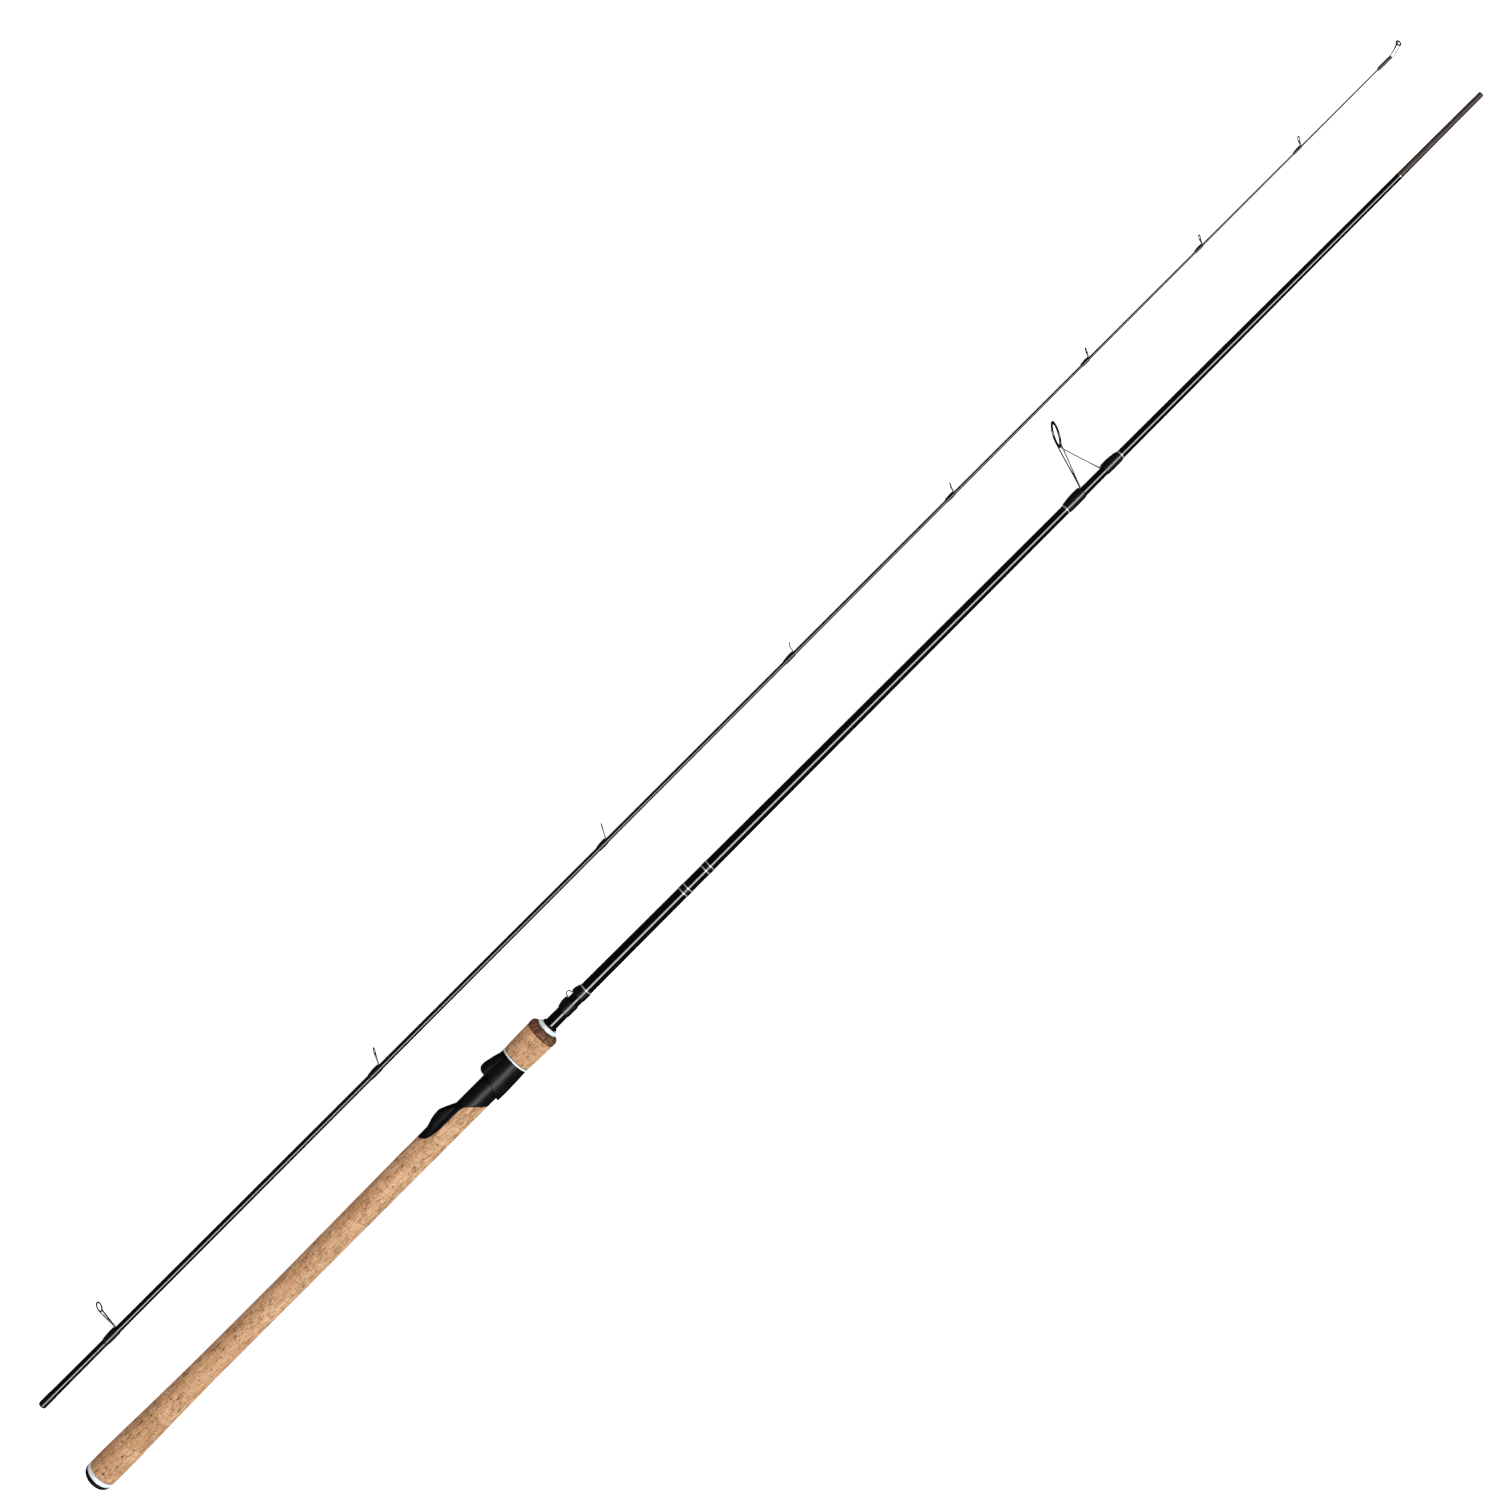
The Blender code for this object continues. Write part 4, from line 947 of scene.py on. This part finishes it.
# Reel seat and movable hood
def make_reel_seat():
    """The barrel, the body that fills the cork's scoop, and the fixed hood, as one moulding."""
    rear, front = span_of("reel_seat", BUTT)
    inner_r = BARREL_R - 0.5
    core = [(x, SEAT_BODY_R, GRIP_FRONT_RISE) for x in (rear + 1.0, SEAT_SHOULDER)]
    body = scratch(turned(core, SEAT_SIDES, closed=False))
    hood = [hood_ring(x, FIXED_HOOD_HALF, FIXED_HOOD_BASE, top) for x, top in smooth_line(FIXED_HOOD_TOPS, 4)]
    combine(body, skin(hood, closed=False), 'UNION')
    combine(body, prism(seat_side(0.3), SEAT_CUT_DEPTH), 'INTERSECT')
    combine(body, turned([(rear, inner_r), (front, inner_r)], SEAT_SIDES, closed=False), 'DIFFERENCE')
    barrel = turned([(rear, BARREL_R), (front - 0.5, BARREL_R), (front, BARREL_R - 0.5), (front, SEAT_BORE_R),
                     (rear, SEAT_BORE_R)], SEAT_SIDES)
    combine(body, barrel, 'UNION')
    clear = BED_MOUTH[0][1]
    bed = [(BED_START, BED_Y), (SEAT_SHOULDER + 1.0, BED_Y), (SEAT_SHOULDER + 1.0, clear), *BED_MOUTH]
    combine(body, prism(bed, SEAT_CUT_DEPTH), 'DIFFERENCE')
    start, roof, half = REAR_POCKET
    combine(body, block((start, POCKET_FLOOR, -half), (BED_START + 0.6, roof, half)), 'DIFFERENCE')
    key_floor = BARREL_R - 0.9
    slot = block((SEAT_SHOULDER + 1.5, -BARREL_R - 1.0, -KEY_HALF), (front + 1.0, -key_floor, KEY_HALF))
    combine(body, slot, 'DIFFERENCE')
    fuse(body, MOULDING_VOXEL, MOULDING_SMOOTHING)
    piece("reel_seat_moulding", body, SEAT, "butt_section", ["reel_seat"], sharp=70.0)


def make_sliding_hood():
    front = span_of("sliding_hood", BUTT)[1]
    shell = list(HOOD_SHELL) + [(front - 0.35, 11.37), (front, 11.1)]
    hood = scratch(turned(smooth_line(shell[:-2], 4) + shell[-2:], SEAT_SIDES, closed=False))
    swelling = [hood_ring(x, SLIDING_HOOD_HALF, SLIDING_HOOD_BASE, top)
                for x, top in smooth_line(SLIDING_HOOD_TOPS, 4)]
    combine(hood, skin(swelling, closed=False), 'UNION')
    rear = HOOD_SHELL[0][0]
    bore = [(x, HOOD_CLEAR_R, GRIP_FRONT_RISE) for x in (rear - 1.0, HOOD_BORE_STEP)]
    bore += [(x, HOOD_BORE_R) for x in (HOOD_BORE_STEP + 0.4, front + 1.0)]
    combine(hood, turned(bore, SEAT_SIDES, closed=False), 'DIFFERENCE')
    end, roof, half = HOOD_POCKET
    combine(hood, block((rear - 2.0, POCKET_FLOOR - 2.0, -half), (end, roof, half)), 'DIFFERENCE')
    line = smooth_line(HOOD_REAR_EDGE, 10)
    behind = rear - 4.0
    combine(hood, prism(line + [(behind, line[-1][1]), (behind, line[0][1])], CUT_DEPTH), 'DIFFERENCE')
    fuse(hood, MOULDING_VOXEL, MOULDING_SMOOTHING)
    piece("sliding_hood_moulding", hood, SEAT, "sliding_hood", ["sliding_hood"], sharp=70.0)


# Thread work
def epoxy(name, node, mat, body, foot=None, to_rear=False, most=WRAP_MOST):
    """A wrap under epoxy: it swells over its middle, and thins out to the blank at both ends.

    foot is the (height, half-width) of the ridge that a guide's foot makes along its +Y side. The ridge falls
    away to the rear. With to_rear it is the highest at the rear and falls away to the front. most limits the
    thickness of the wrap.
    """
    sides = BLANK_SIDES
    blank_r = tip_r if body == "tip_section" else butt_r
    rings = rings_of(node, section_of(body))
    (start, *_), (end, *_) = rings[0], rings[-1]
    length = end - start
    longest_lip, lip_part = WRAP_LIP
    lip = min(longest_lip, lip_part * length)
    steps = max(int(length / WRAP_STEP), 8)
    shape = []
    for k in range(steps + 1):
        x = start + length * k / steps
        near = min(x - start, end - x)
        rise = math.sqrt(max(1.0 - (1.0 - min(near / lip, 1.0)) ** 2, 0.0))
        low = read([(p[0], p[1] - p[2]) for p in rings], x)
        blank = blank_r(x)
        wall = max(min(low - blank, most), WRAP_LEAST) * rise + 0.02
        points = []
        for j in range(sides):
            a = 2.0 * math.pi * j / sides
            r = blank + wall
            if foot:
                height, half = foot
                turn = min(a, 2.0 * math.pi - a) * blank
                part = (end - x if to_rear else x - start) / length
                slope = min(part / 0.55, 1.0)
                ridge = height * (0.15 + 0.85 * slope) * math.exp(-(turn / (1.5 * half)) ** 2)
                r += ridge * rise
            points.append((x, r * math.cos(a), r * math.sin(a)))
        shape.append(points)
    shape.insert(0, ring_points(start, blank_r(start) - 0.15, sides))
    shape.append(ring_points(end, blank_r(end) - 0.15, sides))
    piece(name, skin(shape, closed=False), mat, body, [node])


def make_thread():
    for end, to_rear in (("rear", False), ("front", True)):
        for name, ridge in (("keeper", KEEPER_RIDGE), ("stripper", STRIPPER_RIDGE)):
            epoxy(f"{name}_epoxy_{end}", f"{name}_wrap_{end}", THREAD, "butt_section", ridge, to_rear)
    for name in ("trim_wrap_rear", "trim_wrap_front"):
        epoxy(f"{name}_epoxy", name, THREAD, "butt_section", most=TRIM_WRAP_MOST)
    bands = [f"trim_band_{number}" for number in range(1, 5)]
    for name in ("keeper_band", *bands, "stripper_band_rear", "stripper_band_front"):
        epoxy(f"{name}_thread", name, SILVER, "butt_section", most=BAND_MOST)
    epoxy("ferrule_line_thread", "ferrule_line", GOLD, "butt_section", most=TRIM_WRAP_MOST)
    epoxy("socket_epoxy", "socket_wrap", THREAD, "tip_section", most=SOCKET_WRAP_MOST)


def make_keeper():
    """A bent wire: its two feet lie under the wraps, and its loop stands up between them."""
    low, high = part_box("hook_keeper")
    wire_r = (high.z - low.z) / MM / 2
    start, end = span_of("hook_keeper", BUTT)
    top = (high.y - BUTT.y) / MM
    centre = KEEPER_CENTRE
    loop_r = KEEPER_LOOP_R
    foot_y = butt_r(centre) + 0.1 + wire_r
    centre_y = top - wire_r - loop_r
    opening = math.acos(max(min((centre_y - foot_y) / loop_r, 1.0), -1.0))
    sweep = 2.0 * (math.pi - opening)
    steps = 36
    path = [(start + 0.2, foot_y, 0.0), (centre - 3.4, foot_y, 0.0), (centre - 2.6, foot_y + 0.05, 0.0)]
    for k in range(1, steps):
        a = opening - math.pi + k * sweep / steps
        path.append((centre + loop_r * math.sin(a), centre_y + loop_r * math.cos(a), 0.0))
    path += [(centre + 2.6, foot_y + 0.05, 0.0), (centre + 3.4, foot_y, 0.0), (end - 0.2, foot_y, 0.0)]
    line = smooth_line(path, 2)
    bm = swept(line, oval_section(wire_r, wire_r, 14))
    piece("keeper_wire", bm, FRAME, "butt_section", ["hook_keeper"], sharp=80.0)


# Guides
def ceramic_insert(name, node, body, centre, outer_r, bore_r, width, lean):
    """A guide ring's ceramic: its bore is a smooth half-round all the way across."""
    half = width / 2
    outline = []
    steps = 14
    middle = (outer_r + bore_r) / 2
    for k in range(steps + 1):
        a = math.pi * k / steps
        outline.append((half * math.cos(a), middle - (middle - bore_r) * math.sin(a)))
    outline += [(-half, middle), (-0.75 * half, outer_r - INSERT_PLAY),
                (0.75 * half, outer_r - INSERT_PLAY)]
    bm = lean_to(turned(rounded(outline, 0.05 * outer_r), HOOP_SIDES), centre.x, centre.y, lean)
    piece(name, bm, CERAMIC, body, [node], sharp=60.0)


def hoop(radius, wall, width, centre, lean, sides=HOOP_SIDES):
    """The rounded band of a frame that holds its ring."""
    section = rounded([(-width / 2, radius), (width / 2, radius), (width / 2, radius - wall),
                       (-width / 2, radius - wall)], 0.3 * min(width, wall))
    return lean_to(turned(section, sides), centre.x, centre.y, lean)


def below(centre, lean, down, z):
    """The point that lies down below a leaning ring's centre, in the ring's plane, and z to the side."""
    angle = math.radians(lean)
    return (centre.x - down * math.sin(angle), centre.y - down * math.cos(angle), z)


def make_tip_guide(number, lean):
    """A single-foot guide: a ring in a hoop, on two strips that come together in one foot under the wrap."""
    low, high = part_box(f"guide_{number}_frame")
    centre = (centre_of(f"guide_{number}_ring") - TIP) / MM
    radius = (high.z - low.z) / MM / 2
    base = span_of(f"guide_{number}_wrap", TIP)[1] + 0.5
    blank = tip_r(base)
    thickness = 0.05 * radius + 0.3
    wall = 0.1 * radius + 0.2
    rim = radius - wall / 2
    width = 0.07 * radius + 0.4
    foot_half = 0.15 * blank + 0.2
    foot_y = blank + 0.1 + thickness / 2
    parts = [hoop(radius, wall, thickness * 1.3, centre, lean)]
    for side in (-1, 1):
        spread = 0.86 * rim
        top = below(centre, lean, 0.5 * rim, side * spread)
        corner = below(centre, lean, rim, 0.0)
        knee = (corner[0] + 0.12 * (top[0] - corner[0]), corner[1] + 0.1 * (top[1] - corner[1]),
                side * 0.62 * spread)
        foot = (base, foot_y + 0.2, side * 0.45 * foot_half)
        middle = tuple((a + b) / 2 for a, b in zip(knee, foot))
        path = smooth_line([top, knee, middle, foot, (base - 1.2, foot_y, side * 0.4 * foot_half),
                            (base - 3.0, foot_y, side * 0.3 * foot_half)], 6)
        parts.append(swept(path, strip_section(1.05 * thickness, 0.6 * width)))
    shape = scratch(joined(parts))
    fuse(shape, max(0.035 * radius, 0.07), WIRE_SMOOTHING)
    piece(f"guide_{number}_hoop_and_legs", shape, FRAME, "tip_section", [f"guide_{number}_frame"],
          sharp=70.0)

    insert_r = radius - wall - INSERT_PLAY
    insert_wall = 0.1 * radius + 0.22
    ceramic_insert(f"guide_{number}_ceramic", f"guide_{number}_ring", "tip_section", centre, insert_r,
                   insert_r - insert_wall, 0.12 * radius + 0.5, lean)
    ridge = (thickness + 0.1, foot_half)
    epoxy(f"guide_{number}_epoxy", f"guide_{number}_wrap", THREAD, "tip_section", ridge)


def make_stripper():
    """The large guide: a hoop on two rear legs and one front strut, with a foot at each end."""
    centre = (centre_of("stripper_ring") - BUTT) / MM
    low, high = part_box("stripper_frame")
    radius = (high.z - low.z) / MM / 2
    wall, hoop_width = STRIPPER_HOOP
    rear_base = span_of("stripper_wrap_rear", BUTT)[1] + 1.0
    front_base = span_of("stripper_wrap_front", BUTT)[0] - 1.2
    parts = [hoop(radius, wall, hoop_width, centre, STRIPPER_LEAN, STRIPPER_SIDES)]
    rim = radius - wall / 2
    foot_y = butt_r(rear_base) + 0.1 + STRIPPER_THICKNESS / 2
    for side in (-1, 1):
        top = below(centre, STRIPPER_LEAN, 0.45 * rim, side * 0.89 * rim)
        knee = below(centre, STRIPPER_LEAN, 0.93 * rim, side * 0.62 * rim)
        foot = (rear_base + 0.4, foot_y + 0.6, side * 0.5)
        middle = tuple(0.55 * a + 0.45 * b for a, b in zip(knee, foot))
        path = smooth_line([top, knee, middle, foot, (rear_base - 1.0, foot_y, side * 0.45),
                            (rear_base - 5.0, foot_y, side * 0.3)], 8)
        parts.append(swept(path, strip_section(*STRIPPER_LEG)))
    front_y = butt_r(front_base) + 0.1 + STRIPPER_THICKNESS / 2
    hoop_low = below(centre, STRIPPER_LEAN, rim, 0.0)
    path = [hoop_low, (hoop_low[0] + 0.6, hoop_low[1] - 2.5, 0.0)]
    path += [(front_base + x, front_y + y, 0.0) for x, y in STRIPPER_STRUT_FOOT]
    parts.append(swept(smooth_line(path, 8), strip_section(*STRIPPER_STRUT)))
    shape = scratch(joined(parts))
    fuse(shape, STRIPPER_VOXEL, STRIPPER_SMOOTHING)
    piece("stripper_hoop_and_legs", shape, FRAME, "butt_section", ["stripper_frame"], sharp=70.0)
    ceramic_insert("stripper_ceramic", "stripper_ring", "butt_section", centre,
                   radius - wall - STRIPPER_INSERT_PLAY, STRIPPER_BORE_R, STRIPPER_INSERT_WIDTH,
                   STRIPPER_LEAN)


def make_tip_top():
    """A tube on the blank's end with a ring held by two side legs and a strut."""
    start = span_of("tip_top_frame", TIP)[0]
    centre = (centre_of("tip_top_ring") - TIP) / MM
    low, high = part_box("tip_top_frame")
    radius = (high.z - low.z) / MM / 2
    tube_r = (TIP.y - low.y) / MM
    bore_r = TOP_BORE_R
    wall, hoop_width = TOP_HOOP
    tube_end = start + TOP_TUBE_LENGTH
    tube = rounded([(start, tube_r), (tube_end, tube_r), (tube_end, bore_r), (start, bore_r)], 0.15)
    parts = [turned(tube, BLANK_SIDES), hoop(radius, wall, hoop_width, centre, 0.0, TOP_HOOP_SIDES)]
    mid = (tube_r + bore_r) / 2
    rim = radius - wall / 2
    for side in (-1, 1):
        path = [(tube_end - 2.0, 0.7 * mid, side * 0.7 * mid),
                (tube_end + 1.2, 0.75 * mid + 0.3, side * 0.75 * mid),
                ((tube_end + centre.x) / 2 + 1.0, 0.5 * centre.y + 0.9, side * 0.6 * rim),
                (centre.x, centre.y + 0.5 * rim, side * 0.87 * rim)]
        parts.append(swept(smooth_line(path, 8), oval_section(TOP_LEG_R, TOP_LEG_R)))
    path = [(tube_end - 2.0, -mid, 0.0), (tube_end + 2.5, -mid, 0.0),
            (centre.x - 1.6, centre.y - rim - 0.1, 0.0), (centre.x, centre.y - rim, 0.0)]
    parts.append(swept(smooth_line(path, 8), strip_section(*TOP_STRUT)))
    shape = scratch(joined(parts))
    fuse(shape, TOP_VOXEL, WIRE_SMOOTHING)
    piece("tip_top_tube_and_hoop", shape, FRAME, "tip_section", ["tip_top_frame"], sharp=70.0)
    cover_r = tube_r + 0.1
    cover = [(start - 1.6, tip_r(start) - 0.1), (start - 1.2, tip_r(start) + 0.08), (start + 0.4, cover_r),
             (tube_end - 1.6, cover_r), (tube_end - 0.9, tube_r - 0.1)]
    piece("tip_top_epoxy", turned(rounded(cover, 0.5, closed=False), BLANK_SIDES, closed=False), THREAD,
          "tip_section", [])
    ring_bore_r, ring_width = TOP_RING
    ceramic_insert("tip_top_ceramic", "tip_top_ring", "tip_section", centre, radius - wall - INSERT_PLAY,
                   ring_bore_r, ring_width, 0.0)


def finish_hidden_nodes():
    """The arbors and the locking nut stay as they are, and get their real materials."""
    for node, mat in (("seat_arbor_rear", FOAM), ("seat_arbor_front", FOAM), ("locking_nut", NYLON)):
        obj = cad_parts[node]
        obj.data.materials.clear()
        obj.data.materials.append(mat)


# Surroundings
def make_floor():
    bm = bmesh.new()
    bmesh.ops.create_grid(bm, x_segments=8, y_segments=8, size=FLOOR_HALF)
    mesh = bpy.data.meshes.new("floor")
    bm.to_mesh(mesh)
    bm.free()
    floor = bpy.data.objects.new("floor", mesh)
    floor.location.z = CAD_BOX[0].z - FLOOR_GAP
    mesh.materials.append(floor_material())
    bpy.context.collection.objects.link(floor)
    floor.visible_glossy = False


def area_light(name, location, size, power, color):
    data = bpy.data.lights.new(name, 'AREA')
    data.shape = 'RECTANGLE'
    data.size, data.size_y = size
    data.energy = power
    data.color = color
    obj = bpy.data.objects.new(name, data)
    obj.location = location
    obj.rotation_euler = (-Vector(location)).to_track_quat('-Z', 'Y').to_euler()
    bpy.context.collection.objects.link(obj)
    return obj


def make_lights():
    """A long softbox above the rod's -Y side draws the narrow highlight; a dim room fills the rest."""
    area_light("strip", (0.0, -0.62, 1.5), (3.7, 0.7), 62.0, (1.0, 0.98, 0.94))
    fills = ((1.6, 1.3, 13.0, (1.0, 0.74, 0.54)), (-1.8, 0.7, 12.0, (0.50, 0.88, 1.0)))
    for number, (y, z, power, color) in enumerate(fills):
        fill = area_light(f"fill_{number}", (0.0, y, z), (2.6, 0.8), power, color)
        fill.visible_glossy = False
    world = bpy.data.worlds.new("studio")
    bpy.context.scene.world = world
    world.use_nodes = True
    background = world.node_tree.nodes["Background"]
    background.inputs["Color"].default_value = (1.0, 1.0, 1.0, 1.0)
    background.inputs["Strength"].default_value = 0.015


def make_camera():
    data = bpy.data.cameras.new("camera")
    data.angle = 2.0 * math.atan(VIEW_WIDTH / 2.0 / CAMERA_DISTANCE)
    data.clip_start, data.clip_end = 0.05, 20.0
    camera = bpy.data.objects.new("camera", data)
    camera.location = (*VIEW_CENTRE, CAMERA_DISTANCE + BUTT.z)
    camera.rotation_euler = (0.0, 0.0, math.radians(CAMERA_TURN))
    bpy.context.collection.objects.link(camera)
    bpy.context.scene.camera = camera


make_blanks()
make_grip()
make_trim_rings()
make_butt_cap()
make_reel_seat()
make_sliding_hood()
make_thread()
make_keeper()
make_stripper()
for guide, guide_lean in enumerate(GUIDE_RING_LEANS, 1):
    make_tip_guide(guide, guide_lean)
make_tip_top()
finish_hidden_nodes()
make_floor()
make_lights()
make_camera()
bpy.context.scene.view_settings.view_transform = 'Standard'

bpy.context.view_layer.update()
